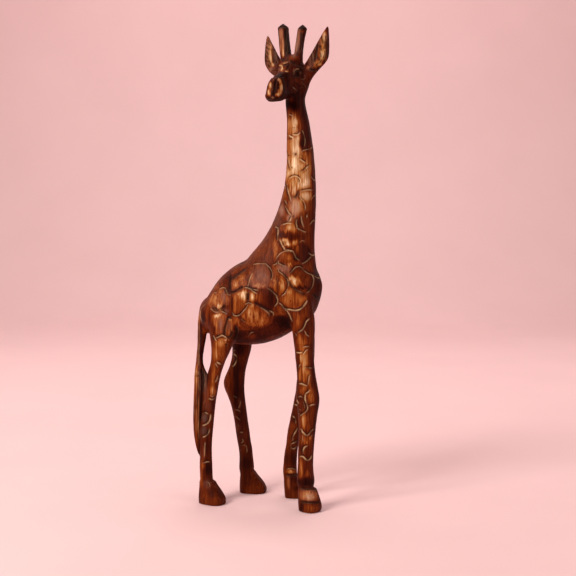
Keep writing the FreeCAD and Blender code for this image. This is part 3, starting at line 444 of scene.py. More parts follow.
# The pale stains at 5 and 2 high paint the light on the hoof's sloping top, the second with a painted sheen;
# the long narrow dark stains at 80 to 90 across are painted shade along the leg's right-hand edge.
FRONT_RIGHT_STAINS = [
    (60, 215, 5, 14, 0.66, 0.9), (67, 192, 4.5, 28, 0.8, 1), (62, 202, 2, 8, 0.88, 0.8),
    (56, 190, 3, 30, 0.28, 0.8), (72, 172, 4, 16, 0.7, 0.9), (61, 176, 3, 12, 0.66, 0.8),
    (80, 180, 3, 45, 0.22, 0.95), (58, 152, 5, 12, 0.3, 0.9), (64, 154, 4, 8, 0.46, 0.8),
    (61, 130, 7, 10, 0.32, 0.9), (75, 145, 5, 14, 0.66, 0.9), (77, 118, 4, 14, 0.48, 0.8),
    (86, 138, 2.6, 26, 0.18, 0.95), (66, 110, 3.5, 13, 0.86, 0.95), (72, 106, 4, 12, 0.62, 0.8),
    (58, 106, 4, 12, 0.46, 0.8), (64.5, 84, 3.4, 9, 0.72, 0.9), (72, 84, 4, 9, 0.54, 0.8),
    (75, 87, 1.4, 3, 0.8, 0.8), (70, 79, 1.2, 2, 0.74, 0.8), (71, 66, 5, 7, 0.28, 0.95),
    (81, 80, 2.4, 40, 0.17, 0.9), (61.5, 42, 2.4, 17, 0.64, 0.95), (71, 46, 5, 7, 0.34, 0.9),
    (70, 34, 2.2, 5, 0.68, 0.9), (66, 38, 1.4, 8, 0.26, 0.8), (71, 22, 14, 7, 0.03, 1),
    (72, 5, 12, 8.5, 0.72, 1, 0.3), (74, 2, 5, 4, 0.78, 0.9, 1), (64, 3, 2, 7, 0.66, 0.8, 0.2),
    (90, 2, 4, 12, 0.2, 0.95), (77, -15, 14, 7, 0.46, 1), (62.5, -14, 2.6, 8, 0.08, 1),
    (90, -14, 4, 8, 0.28, 0.9), (66, 160, 5, 14, 0.64, 0.6), (77, 138, 3.2, 16, 0.58, 0.6),
    (71, 112, 5, 12, 0.62, 0.6), (66, 60, 3, 16, 0.54, 0.5), (70.5, 152, 0.8, 12, 0.24, 0.7),
    (74, 118, 0.8, 14, 0.26, 0.7), (69, 98, 0.7, 8, 0.22, 0.7), (63.5, 170, 0.7, 10, 0.26, 0.7),
    (63.6, 70, 0.7, 12, 0.22, 0.7),
]
# The pale band at 37.5 high is painted light on the top of the hoof's ledge.
FRONT_LEFT_STAINS = [
    (52, 150, 12, 70, 0.24, 0.8), (51, 103, 4, 6, 0.46, 0.9), (50, 90, 4, 10, 0.44, 0.9),
    (47, 75, 5, 7, 0.32, 0.8), (48, 57, 10, 11, 0.16, 0.95), (47.5, 37.5, 6.5, 3.4, 0.78, 1),
    (53, 27, 6, 6, 0.12, 0.95), (44, 22, 2.2, 8, 0.7, 0.9, 0.2), (49, 20, 3, 8, 0.26, 0.9),
    (55, 12, 5, 6, 0.1, 0.9), (47, 6, 14, 6, 0.3, 0.9), (47, -8, 16, 6, 0.34, 0.9),
]
HIND_RIGHT_STAINS = [
    (-56, 212, 12, 14, 0.5, 0.9), (-61, 205, 3.5, 12, 0.7, 0.8), (-52, 222, 8, 5, 0.76, 0.9),
    (-50, 204, 4, 12, 0.54, 0.7), (-69, 212, 2, 16, 0.3, 0.8), (-63, 187, 3.4, 7, 0.62, 0.9),
    (-58, 184, 2.6, 6, 0.42, 0.8), (-63.5, 173, 3.4, 12, 0.66, 0.9), (-58.6, 172, 2, 8, 0.52, 0.8),
    (-69, 176, 2.2, 12, 0.26, 0.9), (-64.5, 152, 4.4, 9, 0.76, 1), (-70, 146, 3.2, 9, 0.48, 0.8),
    (-75.5, 148, 3.4, 12, 0.36, 0.8, 0.15), (-79.4, 145, 1.3, 12, 0.6, 0.9),
    (-76, 168, 3, 14, 0.22, 0.95, 0.4), (-72.4, 172, 1.4, 10, 0.12, 0.9), (-71, 131, 7, 6, 0.3, 0.9, 0.1),
    (-63, 132, 2.4, 12, 0.26, 0.8), (-76, 115, 4.5, 5.5, 0.1, 1, 0.3), (-69, 112, 3, 10, 0.4, 0.8),
    (-77, 97, 4.5, 6, 0.12, 1, 0.2), (-75, 74, 8, 12, 0.22, 0.9), (-77, 66, 1.2, 8, 0.54, 0.7, 0.3),
    (-79, 47, 4, 5, 0.6, 0.9), (-78, 52, 4, 3, 0.54, 0.8), (-71, 42, 5, 10, 0.1, 0.95),
    (-81, 30, 2.2, 16, 0.48, 0.9), (-73, 20, 5, 6, 0.36, 0.8, 0.2), (-60, 8, 12, 8, 0.2, 0.9),
    (-72, -4, 16, 6, 0.34, 0.9),
]
HIND_LEFT_STAINS = [
    (-28, 120, 24, 110, 0.25, 0.9), (-43, 166, 5, 16, 0.36, 0.9), (-38, 190, 3, 9, 0.34, 0.8),
    (-30.5, 176, 5, 24, 0.05, 0.95), (-31, 150, 4, 12, 0.1, 0.9), (-26, 214, 8, 9, 0.05, 0.95),
    (-34.5, 205, 1.6, 8, 0.26, 0.8, 0.2), (-23, 168, 3, 28, 0.22, 0.8), (-26, 136, 2.2, 8, 0.38, 0.8, 0.1),
    (-33, 120, 4, 8, 0.38, 0.8), (-23, 112, 3, 10, 0.14, 0.8), (-28, 101, 3.4, 6, 0.4, 0.8, 0.1),
    (-22, 88, 5, 9, 0.32, 0.8, 0.1), (-20, 72, 5, 8, 0.38, 0.8), (-18, 50, 9, 8, 0.12, 0.9),
    (-8, 26, 10, 10, 0.26, 0.8), (-20, 84, 4, 14, 0.36, 0.7), (-19, 76, 2, 6, 0.5, 0.7),
    (-22, 110, 2, 12, 0.34, 0.6),
]
# The long dark stains at -81.4, -80.2 and -81.2 across are painted shade in the gap between the tail and the
# leg.
TAIL_STAINS = [
    (-87, 215, 2.6, 36, 0.54, 0.9, 0.25), (-81.4, 215, 2.4, 40, 0.12, 0.9), (-88.4, 172, 3, 15, 0.82, 0.95),
    (-90.2, 150, 2.4, 20, 0.7, 0.85), (-92.8, 125, 1.2, 50, 0.3, 0.8), (-86.6, 140, 0.9, 28, 0.3, 0.8),
    (-84.2, 170, 0.8, 18, 0.14, 0.9), (-82.6, 162, 1.1, 22, 0.62, 0.9, 0.4),
    (-84.2, 128, 1.5, 28, 0.76, 0.9), (-80.2, 165, 1.4, 20, 0.12, 0.9), (-81.2, 115, 1.2, 40, 0.14, 0.9),
    (-88.4, 112, 2.6, 20, 0.62, 0.8), (-85.4, 101, 1.3, 9, 0.88, 0.9), (-88, 80, 5, 8, 0.44, 0.8),
    (-76, 168, 3, 14, 0.22, 0.95, 0.4), (-72.6, 172, 1.4, 12, 0.12, 0.9),
]
# Painted highlights: the whitish spot on the lower lip at 21 across, and the small pale stains at 51.8, 56
# and 61.2 across, the eye's glints.
HEAD_STAINS = [
    (38, 620, 8, 8, 0.48, 1), (41, 623.4, 4.2, 2, 0.8, 0.95), (32.5, 618.6, 3.4, 2.4, 0.84, 0.95),
    (34, 614, 3.4, 3, 0.7, 0.9), (41, 611.2, 2.4, 1.3, 0.94, 0.95), (45, 624, 1.6, 6, 0.58, 0.8),
    (48, 630.5, 9, 3.4, 0.46, 0.9), (37, 628, 3, 3, 0.26, 0.8), (31, 628, 2.4, 2.6, 0.44, 0.8),
    (25, 612, 4.4, 7, 0.28, 0.8, 0.2), (46.5, 617, 1.8, 5, 0.24, 0.8), (18.4, 590, 2.2, 6, 0.98, 1),
    (15.6, 581, 2.3, 5, 0.92, 1), (18, 582, 1.2, 5, 0.62, 0.9), (12.4, 580, 1.3, 9, 0.28, 0.9),
    (21.6, 590, 1.1, 11, 0.44, 0.9), (22.8, 599, 2, 2.6, 0.58, 0.9), (24.6, 587, 1.5, 13, 0.04, 1),
    (27.2, 589, 1.2, 7, 0.34, 0.9, 0.1), (29.6, 599, 1.7, 2.2, 0.94, 1, 0.5), (33.4, 588, 2.6, 7, 1, 1),
    (31.8, 596.5, 1.7, 3.2, 0.86, 1), (31.6, 580, 3.2, 3.8, 0.96, 1), (27.8, 577.6, 3.4, 2.6, 0.98, 1),
    (30, 583, 1.6, 2.6, 0.76, 0.9), (37.4, 587, 1.6, 12, 0.12, 0.9), (21, 573.6, 2, 2.2, 0.86, 0.9, 0.6),
    (24, 568.5, 16, 1.8, 0.06, 0.9), (32, 605.2, 12, 2.4, 0.06, 1), (51.8, 611, 1.5, 3.6, 0.76, 0.9, 0.3),
    (56, 614.2, 3, 1.1, 0.72, 0.9, 0.3), (57.4, 608.4, 3, 2.8, 0, 1),
    (61.2, 609.6, 1.2, 1.8, 0.68, 0.9, 0.4), (52, 575, 16, 8, 0.08, 1), (46, 592, 7, 8, 0.2, 0.9),
    (64, 592, 6, 12, 0.24, 0.8), (56, 597, 8, 5, 0.28, 0.8), (71.5, 616, 2, 3.4, 0.66, 0.9, 0.3),
    (48, 571, 3, 4, 0.26, 0.8), (30, 635, 2, 4, 0.4, 0.8),
]
EAR_STAINS = [
    (16, 640, 5, 20, 0.8, 0.9, 0.5), (18.6, 632, 2.5, 11, 1, 1), (21.2, 620.5, 1.3, 3.5, 1, 0.9),
    (13.5, 640, 1.6, 18, 0.54, 0.8, 0.5), (23.6, 630, 1.2, 12, 0.44, 0.9, 0.5),
    (26.6, 630, 2.2, 12, 0.22, 0.9, 0.2), (18, 614, 3, 3, 0.46, 0.8, 0.6), (22, 607, 5, 6, 0.28, 0.7, 0.2),
    (10.5, 640, 0.8, 26, 0.18, 0.9), (16, 656, 2.5, 5, 0.46, 0.8, 0.4), (92.5, 641, 6.4, 16, 0.95, 1),
    (96, 633, 4, 8, 0.74, 0.9), (94.8, 660, 3.4, 9, 0.9, 1, 0.2), (93, 633, 3, 6, 1, 1),
    (86, 623, 5.6, 5, 0.82, 0.95), (82, 617, 4, 2.6, 0.66, 0.9), (88.6, 652, 1.2, 10, 0.46, 0.9, 0.4),
    (83.5, 640, 1.8, 12, 0.22, 0.9, 0.3), (79.5, 629, 1.8, 8, 0.36, 0.9, 0.5),
    (75, 624, 2.4, 8, 0.26, 0.9, 0.3), (72, 617, 1.8, 3, 0.7, 0.9, 0.3), (99.8, 640, 1.4, 34, 0.16, 0.95),
    (92, 615.5, 9, 2.4, 0.1, 0.95),
]
# The pale stains on the horns' left faces and the dark ones on their right faces are painted light and shade
# on the facets.
HORN_STAINS = [
    (32.6, 664, 3, 10, 0.8, 0.95, 0.6), (35.2, 648, 4.4, 12, 0.74, 0.9, 0.3),
    (36.4, 637, 1.8, 5, 0.92, 0.9), (29.8, 650, 0.9, 24, 0.3, 0.9), (42, 652, 3, 26, 0.06, 1, 0.1),
    (59.4, 657, 3.4, 15, 0.6, 0.9, 0.5), (54.4, 648, 2.4, 9, 0.58, 0.9, 0.9),
    (52, 636, 2, 5, 0.34, 0.8, 0.5), (63.8, 655, 1.8, 20, 0.16, 0.9), (63, 668, 3, 3, 0.54, 0.8),
    (37, 677, 12, 3.2, 0.06, 1), (64, 676, 10, 3.4, 0.08, 1),
]
# ---- swellings and hollows: across, height, half sizes, how far out ----
BODY_FORMS = [
    (62, 311, 17, 18, 1.2), (43, 343, 15, 9, 0.9), (25, 308, 14, 16, 0.7), (-30, 308, 10, 11, 0.8),
    (-31, 278, 10, 17, 0.9), (48, 284, 18, 11, 0.8), (15, 287, 11, 13, 0.7), (-56, 250, 11, 14, 0.7),
    (-42, 243, 4, 12, 0.8), (-10, 266, 15, 10, 0.5), (-18, 288, 10, 9, 0.5), (2, 318, 15, 16, 0.5),
    (66, 515, 6, 13, -0.7), (52, 446, 7, 12, 0.7), (68, 458, 6, 14, 0.6), (-50, 229, 12, 3, 1),
    (-55, 268, 6, 4, -0.8),
]
HEAD_FORMS = [
    (57, 616.5, 8, 3.2, 1.5), (56.5, 608.5, 6.2, 4.4, -2.2), (57, 608.2, 3.2, 2.4, 2.2),
    (62, 594, 8, 8, 0.8), (33.6, 587, 3.2, 9, 0.9), (16.6, 588, 3.2, 10, 0.6), (28, 577, 5, 3, 0.8),
    (38, 619, 8, 5, 1.2), (45, 602, 8, 6, -1.2), (42.5, 590, 3.6, 10, -1.2), (50, 580, 10, 6, 0.5),
    (30, 605, 9, 2.4, -0.8),
]
LEG_FORMS = [
    (71, 33, 5, 6, 0.9), (70, 140, 7, 13, 0.7), (62, 132, 5, 9, -0.6), (-76, 114, 4.5, 6, 0.9),
    (-77, 96, 4.5, 6, 0.8), (-65, 154, 5, 9, 0.7), (50, 76, 6, 6, 0.6),
]


def smooth_step(low, high, value):
    t = np.clip((value - low) / (high - low), 0.0, 1.0)
    return t * t * (3.0 - 2.0 * t)


def band(begins, full, fades, ends, value):
    """1 from full to fades, easing to 0 at begins and at ends."""
    return smooth_step(begins, full, value) * (1 - smooth_step(fades, ends, value))


# ---- the skin ----
def modified(mesh, kind, **settings):
    """The mesh after one modifier."""
    holder = bpy.data.objects.new("holder", mesh)
    bpy.context.scene.collection.objects.link(holder)
    modifier = holder.modifiers.new("modifier", kind)
    for key, value in settings.items():
        setattr(modifier, key, value)
    result = bpy.data.meshes.new_from_object(holder.evaluated_get(bpy.context.evaluated_depsgraph_get()))
    bpy.data.objects.remove(holder)
    return result


def merged_skin():
    """One closed quad skin round all the CAD pieces."""
    joined = bmesh.new()
    for node in nodes.values():
        joined.from_mesh(node.data)
    raw = bpy.data.meshes.new("raw")
    joined.to_mesh(raw)
    joined.free()
    return modified(raw, "REMESH", mode="VOXEL", voxel_size=VOXEL, adaptivity=0.0)


def coordinates(mesh):
    values = np.empty(len(mesh.vertices) * 3)
    mesh.vertices.foreach_get("co", values)
    return values.reshape(-1, 3)


def vertex_normals(mesh):
    values = np.empty(len(mesh.vertices) * 3)
    mesh.vertex_normals.foreach_get("vector", values)
    return values.reshape(-1, 3)


def smoothed(mesh):
    """Irons out the voxel steps, and blends the forms into each other where they meet."""
    points = coordinates(mesh)
    pairs = np.empty(len(mesh.edges) * 2, dtype=np.int64)
    mesh.edges.foreach_get("vertices", pairs)
    pairs = pairs.reshape(-1, 2)
    ends = np.concatenate([pairs[:, 0], pairs[:, 1]])
    others = np.concatenate([pairs[:, 1], pairs[:, 0]])
    count = np.maximum(np.bincount(ends, minlength=len(points)), 1)

    def relax(current, factor):
        mean = np.empty_like(current)
        for axis in range(3):
            mean[:, axis] = np.bincount(ends, weights=current[others, axis], minlength=len(points)) / count
        return current + (mean - current) * factor

    for _ in range(IRONING_ROUNDS):
        points = relax(points, 0.5)
        points = relax(points, -0.52)       # swells back what the step before it shrank
    x, z = points[:, 0] / MM, points[:, 2] / MM - LIST_FLOOR
    neck_foot = band(318, 330, 362, 376, z)
    leg_tops = band(208, 220, 296, 312, z)
    tail_root = band(238, 246, 284, 296, z) * (1 - smooth_step(-80, -70, x))
    jaw = band(558, 566, 596, 604, z) * smooth_step(36, 44, x)
    blend = np.maximum.reduce([neck_foot, 0.9 * leg_tops, 0.4 * tail_root, 0.5 * jaw])[:, None]
    for _ in range(BLENDING_ROUNDS):
        points = relax(points, 0.6 * blend)
    for _ in range(FINISHING_ROUNDS):
        points = relax(points, 0.4)
    mesh.vertices.foreach_set("co", points.ravel())
    mesh.update()


# ---- sheets that the cuts and stains are laid out on ----
def plan_of(points):
    """Where each point shows in the main view, in millimetres on a sheet square to the line of sight."""
    way = points - EYE
    depth = way @ SIGHT
    across = SHEET_MIDDLE[0] + (way @ ACROSS) / depth * SHEET_DISTANCE
    height = SHEET_MIDDLE[1] + (way @ SIGHT_UP) / depth * SHEET_DISTANCE
    return across, height


def mirrored(vectors, middle_y):
    flipped = vectors.copy()
    flipped[:, 1] = 2 * middle_y - flipped[:, 1]
    return flipped


def mirrored_in_head(vectors, through):
    out = (vectors - through) @ HEAD_LEFT
    return vectors - 2 * out[:, None] * HEAD_LEFT


class CentreLine:
    """The middle of an upright CAD piece at each height."""

    STEP = 4 * MM

    def __init__(self, node):
        points = coordinates(nodes[node].data)
        self.heights = np.arange(points[:, 2].min(), points[:, 2].max(), self.STEP)
        middles = []
        for height in self.heights:
            near = points[np.abs(points[:, 2] - height) < 1.5 * self.STEP]
            middles.append((near.min(0) + near.max(0)) / 2)
        self.middles = np.array(middles)

    def at(self, heights):
        x = np.interp(heights, self.heights, self.middles[:, 0])
        y = np.interp(heights, self.heights, self.middles[:, 1])
        return np.stack([x, y, heights], axis=1)


def lattice_noise(points, cell, seed):
    """Smooth noise between -1 and 1 that changes over about one cell."""
    size = 32
    table = np.random.default_rng(seed).uniform(-1.0, 1.0, (size, size, size))
    scaled = points / cell
    base = np.floor(scaled).astype(int)
    part = scaled - base
    part = part * part * (3 - 2 * part)
    total = np.zeros(len(points))
    for corner in itertools.product((0, 1), repeat=3):
        shares = [part[:, axis] if corner[axis] else 1 - part[:, axis] for axis in range(3)]
        x, y, z = ((base + corner) % size).T
        total += shares[0] * shares[1] * shares[2] * table[x, y, z]
    return total


def flowing(points, per_span=6):
    """A smooth line through a few points."""
    fixed = [np.array(p, float) for p in points]
    if len(fixed) < 3:
        return np.array(fixed)
    padded = [2 * fixed[0] - fixed[1]] + fixed + [2 * fixed[-1] - fixed[-2]]
    line = []
    for i in range(1, len(padded) - 2):
        p0, p1, p2, p3 = padded[i - 1:i + 3]
        for t in np.arange(per_span) / per_span:
            line.append(0.5 * (2 * p1 + (p2 - p0) * t + (2 * p0 - 5 * p1 + 4 * p2 - p3) * t ** 2
                               + (3 * p1 - p0 - 3 * p2 + p3) * t ** 3))
    line.append(fixed[-1])
    return np.array(line)


def depth_inside(a, b, corners):
    """How far each point is inside a closed outline, negative outside."""
    nearest = np.full(len(a), 1e9)
    inside = np.zeros(len(a), dtype=bool)
    for (start_a, start_b), (end_a, end_b) in zip(corners, np.roll(corners, -1, axis=0)):
        way_a, way_b = end_a - start_a, end_b - start_b
        t = np.clip(((a - start_a) * way_a + (b - start_b) * way_b) / (way_a ** 2 + way_b ** 2), 0, 1)
        nearest = np.minimum(nearest, np.hypot(a - start_a - t * way_a, b - start_b - t * way_b))
        crosses = (start_b > b) != (end_b > b)
        inside ^= crosses & (a < start_a + (b - start_b) * way_a / (way_b if way_b else 1e-9))
    return np.where(inside, nearest, -nearest)


class Surface:
    """The skin's points with everything that is carved and stained on them, and the sheen and shade painted
    on them.
    """

    def __init__(self, mesh):
        self.points = coordinates(mesh)
        self.normals = vertex_normals(mesh)
        count = len(self.points)
        self.sink = np.zeros(count)
        self.lift = np.zeros(count)
        self.tone = np.full(count, BODY_TONE)
        self.painted_sheen = np.zeros(count)
        self.cut = np.zeros(count)
        self.soot_and_shade = np.zeros(count)
        # The stain ran along the fibres, so its edges are ragged.
        self.drift_across = 1.1 * lattice_noise(self.points, 8 * MM, 21)
        self.drift_across += 0.5 * lattice_noise(self.points * [1, 1, 0.12], 1.8 * MM, 22)
        self.drift_up = 1.8 * lattice_noise(self.points, 9 * MM, 23)
        self.drift_up += 2.6 * lattice_noise(self.points * [1, 1, 0.06], 1.7 * MM, 24)
        self.wear = np.clip(0.70 + 0.75 * lattice_noise(self.points, 7 * MM, 25), 0.12, 1.15)

    # Moves the tone and the painted sheen, a highlight laid into the colour, towards a stain's.
    def stain(self, which, amount, tone, painted_sheen=0.0):
        self.tone[which] += (tone - self.tone[which]) * amount
        self.painted_sheen[which] += (painted_sheen - self.painted_sheen[which]) * amount

    def fill(self, weight, across, height, cells):
        """Stains whole cells of the coat, with firm edges."""
        chosen = np.nonzero(weight > 0.02)[0]
        a = across[chosen] + 0.4 * self.drift_across[chosen]
        b = height[chosen] + 0.3 * self.drift_up[chosen]
        for tone, strength, painted_sheen, outline in cells:
            corners = np.array(outline, float)
            low, high = corners.min(0) - 2, corners.max(0) + 2
            near = (a > low[0]) & (a < high[0]) & (b > low[1]) & (b < high[1])
            which = chosen[near]
            firm = smooth_step(-1.0, 1.0, depth_inside(a[near], b[near], corners))
            self.stain(which, strength * weight[which] * firm, tone, painted_sheen)

    def lay(self, weight, across, height, cuts=(), stains=(), forms=(), drift=1.0):
        """Carves, stains and swells the points whose weight isn't zero."""
        chosen = np.nonzero(weight > 0.02)[0]
        a, b, share = across[chosen], height[chosen], weight[chosen]
        drifted_a = a + drift * self.drift_across[chosen]
        drifted_b = b + drift * self.drift_up[chosen]
        for middle_a, middle_b, half_a, half_b, tone, strength, *painted_sheen in stains:
            distance = ((drifted_a - middle_a) / half_a) ** 2 + ((drifted_b - middle_b) / half_b) ** 2
            inside = distance < 4.0
            amount = strength * share[inside] * np.exp(-0.75 * distance[inside] ** 1.7)
            self.stain(chosen[inside], amount, tone, *painted_sheen)
        for middle_a, middle_b, half_a, half_b, out in forms:
            distance = ((a - middle_a) / half_a) ** 2 + ((b - middle_b) / half_b) ** 2
            inside = distance < 5.0
            self.lift[chosen[inside]] += out * share[inside] * np.exp(-1.2 * distance[inside])
        for (depth, half_width, pale, soot_and_shade), *line in cuts:
            self.carve(chosen, a, b, share, flowing(line), depth, half_width, pale, soot_and_shade)

    def carve(self, chosen, a, b, share, line, depth, half_width, pale, soot_and_shade):
        """Sinks one cut with a raised lip, bares pale wood in it and darkens the wood beside it with soot and
        painted shade.
        """
        reach = max(2.6 * half_width, 6.0)
        low, high = line.min(0) - reach, line.max(0) + reach
        inside = (a > low[0]) & (a < high[0]) & (b > low[1]) & (b < high[1])
        if not inside.any():
            return
        which = chosen[inside]
        points = np.stack([a[inside], b[inside]], axis=1)
        best = np.full(len(points), 1e9)
        side = np.zeros(len(points))
        along = np.zeros(len(points))
        gone = 0.0
        for start, end in zip(line[:-1], line[1:]):
            way = end - start
            length = math.hypot(way[0], way[1])
            t = np.clip(((points - start) @ way) / length ** 2, 0, 1)
            away = points - (start + t[:, None] * way)
            distance = np.hypot(away[:, 0], away[:, 1])
            nearer = distance < best
            best[nearer] = distance[nearer]
            side[nearer] = (away[:, 1] * 0.8 - away[:, 0] * 0.6)[nearer]
            along[nearer] = (gone + t * length)[nearer]
            gone += length
        # The knife comes in and out over a short run, shorter on a short cut.
        run = min(3.0, 0.45 * gone)
        taper = smooth_step(-0.6 * run, run, along) * smooth_step(-0.6 * run, run, gone - along)
        amount = taper * share[inside]
        r = best / half_width
        groove = depth * np.clip(1 - r, 0, 1) ** 1.2
        lip = 0.12 * depth * np.exp(-((r - 1.35) / 0.4) ** 2)
        self.sink[which] = np.maximum(self.sink[which], groove * amount)
        self.lift[which] += lip * amount * (groove <= 0)
        # Pale wood shows mostly on the lower wall, partly as painted light on the wall that faces the light;
        # the upper lip gets soot and painted shade, its wall being turned from the light.
        upper = side > 0
        bare = pale * np.exp(-(((best * np.where(upper, 1.5, 0.85)) / (0.95 * half_width)) ** 2))
        self.cut[which] = np.maximum(self.cut[which], bare * amount * self.wear[which])
        lip_soot_and_shade = soot_and_shade * np.exp(-((best - half_width - 0.45) / 0.85) ** 2) * (0.20 + 0.80 * upper)
        # Cuts that bare little pale wood are blackened inside: soot, and painted shade in the groove.
        if pale < 0.2:
            lip_soot_and_shade = np.maximum(lip_soot_and_shade, soot_and_shade * np.exp(-(best / (0.9 * half_width)) ** 2))
        self.soot_and_shade[which] = np.maximum(self.soot_and_shade[which], lip_soot_and_shade * amount)
        # Burn with painted shade round the deeper cuts: the tone darkens near them, more for deeper cuts.
        shade = soot_and_shade * amount * min(depth, 1.0) ** 2 * np.exp(-(best / 4.0) ** 2)
        self.tone[which] *= 1 - 0.30 * shade


def near_node(points, names):
    """For each point, the number of the nearest of these CAD pieces."""
    best = np.full(len(points), 1e9)
    label = np.zeros(len(points), dtype=int)
    for number, name in enumerate(names):
        mesh = nodes[name].data
        tree = BVHTree.FromPolygons([v.co for v in mesh.vertices], [p.vertices for p in mesh.polygons])
        low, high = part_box(name)
        reach = 4 * MM
        near = np.all((points > np.array(low) - reach) & (points < np.array(high) + reach), axis=1)
        for index in np.nonzero(near)[0]:
            found = tree.find_nearest(Vector(points[index]), reach)
            if found[0] is not None and found[3] < best[index]:
                best[index] = found[3]
                label[index] = number
    return label


def carve_and_stain(mesh):
    """Lays every cut and stain on the skin, and stores what the woods need to know as attributes."""
    surface = Surface(mesh)
    points, normals = surface.points, surface.normals
    label = near_node(points, PIECES)
    is_piece = {name: label == number for number, name in enumerate(PIECES)}
    lines = {name: CentreLine(name) for name in LEGS}

    facing = normals @ TOWARDS_EYE
    direct = smooth_step(0.0, 0.22, facing)
    flipped_points = mirrored(points, MIDDLE_Y)
    flipped_normals = mirrored(normals, 0.0)
    other = smooth_step(0.0, 0.22, flipped_normals @ TOWARDS_EYE) * (1 - direct)
    across, height = plan_of(points)
    other_across, other_height = plan_of(flipped_points)

    body = (is_piece["torso"] | is_piece["neck"]).astype(float)
    legs_and_torso = {name: (is_piece[name] | is_piece["torso"]).astype(float) for name in LEGS}
    tail = is_piece["tail"] | is_piece["torso"] & (points[:, 0] < RUMP_X) & (points[:, 2] < RUMP_TOP_Z)
    cuts = {"front_right_leg": FRONT_RIGHT_CUTS, "front_left_leg": FRONT_LEFT_CUTS,
            "hind_right_leg": HIND_RIGHT_CUTS, "hind_left_leg": HIND_LEFT_CUTS}
    stains = {"front_right_leg": FRONT_RIGHT_STAINS, "front_left_leg": FRONT_LEFT_STAINS,
              "hind_right_leg": HIND_RIGHT_STAINS, "hind_left_leg": HIND_LEFT_STAINS}

    for name, tone in BASE_TONES.items():
        surface.tone[is_piece[name]] = tone

    surface.fill(body * direct, across, height, BODY_CELLS)
    surface.fill(body * other, other_across, other_height, BODY_CELLS)
    surface.lay(body * direct, across, height, BODY_CUTS, BODY_STAINS, BODY_FORMS)
    surface.lay(body * other, other_across, other_height, BODY_CUTS, BODY_STAINS, BODY_FORMS)
    for name in LEGS:
        forms = LEG_FORMS if name in ("front_right_leg", "hind_right_leg") else ()
        own = direct * (legs_and_torso[name] if name.endswith("right_leg") else is_piece[name])
        surface.lay(own, across, height, cuts[name], stains[name], forms, 0.4)
        here = mirrored(lines[name].at(points[:, 2]), MIDDLE_Y)
        there = lines[OPPOSITE[name]].at(points[:, 2])
        shifted = other_across - plan_of(here)[0] + plan_of(there)[0]
        match = OPPOSITE[name]
        surface.lay(is_piece[name] * other, shifted, other_height, cuts[match], stains[match], (), 0.4)
        middle = lines[name].at(points[:, 2])
        behind = is_piece[name] * smooth_step(0.6, 0.85, -normals[:, 0])
        surface.lay(behind, (points[:, 1] - middle[:, 1]) / MM, points[:, 2] / MM - LIST_FLOOR, LEG_REAR_CUTS)
    surface.lay(tail * direct, across, height, TAIL_CUTS, TAIL_STAINS, (), 0.4)
    surface.lay(tail * other, other_across, other_height, TAIL_CUTS[:5], TAIL_STAINS, (), 0.4)

    skull = is_piece["head"] | is_piece["neck"] & (points[:, 2] > THROAT_Z)
    ears = is_piece["left_ear"] | is_piece["right_ear"] | skull
    horns = is_piece["left_horn"] | is_piece["right_horn"] | is_piece["head"]
    head_normals = mirrored_in_head(normals, np.zeros(3))
    head_points = mirrored_in_head(points, HEAD_MIDDLE)
    head_other = smooth_step(0.0, 0.22, head_normals @ TOWARDS_EYE) * (1 - direct)
    head_across, head_height = plan_of(head_points)
    surface.lay(skull * direct, across, height, HEAD_CUTS, HEAD_STAINS, HEAD_FORMS, 0.3)
    surface.lay(skull * head_other, head_across, head_height, HEAD_CUTS, HEAD_STAINS, HEAD_FORMS, 0.3)
    surface.lay(ears * direct, across, height, EAR_CUTS, EAR_STAINS, (), 0.4)
    surface.lay(horns * direct, across, height, HORN_CUTS, HORN_STAINS, (), 0.4)
    surface.lay(horns * head_other, head_across, head_height, HORN_CUTS, HORN_STAINS, (), 0.4)

    x, y, z = (points / MM - [0, 0, LIST_FLOOR]).T
    surface.lay(body * smooth_step(0.62, 0.85, -normals[:, 0]), y, z, BEHIND_CUTS)
    surface.lay(body * smooth_step(0.80, 0.95, normals[:, 0]), y, z, AHEAD_CUTS)
    surface.lay(body * smooth_step(0.72, 0.9, normals[:, 2]) * (z > 300), x, y, ABOVE_CUTS)

    # Darker along the nape, the back, the throat and the belly, and on the legs' and tail's fronts and backs:
    # painted shade for the dark rims of the faces turned from the sides.
    flat_side = np.abs(normals[:, 1])
    painted_rim_shade = (1 - smooth_step(0.12, 0.62, flat_side)) * (body + 0.7 * (label >= PIECES.index("tail")))
    surface.tone -= 0.10 * painted_rim_shade * surface.tone / BODY_TONE
    surface.tone += 0.05 * lattice_noise(points * [1, 1, 0.35], 9 * MM, 3)
    surface.tone += 0.035 * lattice_noise(points * [1, 1, 0.15], 2.2 * MM, 4)

    uneven = 0.30 * lattice_noise(points, 13 * MM, 11)
    uneven = uneven + 0.16 * lattice_noise(points * [1, 1, 0.5], 5 * MM, 12)
    out = (surface.lift - surface.sink + uneven) * MM
    carved = points + normals * out[:, None]
    carved[:, 2] = np.maximum(carved[:, 2], np.minimum(points[:, 2], 0.2 * MM))
    mesh.vertices.foreach_set("co", carved.ravel())
    for name in ATTRIBUTES:
        layer = mesh.attributes.new(name, "FLOAT", "POINT")
        layer.data.foreach_set("value", np.clip(getattr(surface, name), 0, 1).astype(np.float32))
    owner = mesh.attributes.new("owner", "INT", "POINT")
    owner.data.foreach_set("value", label.astype(np.int32))
    mesh.update()


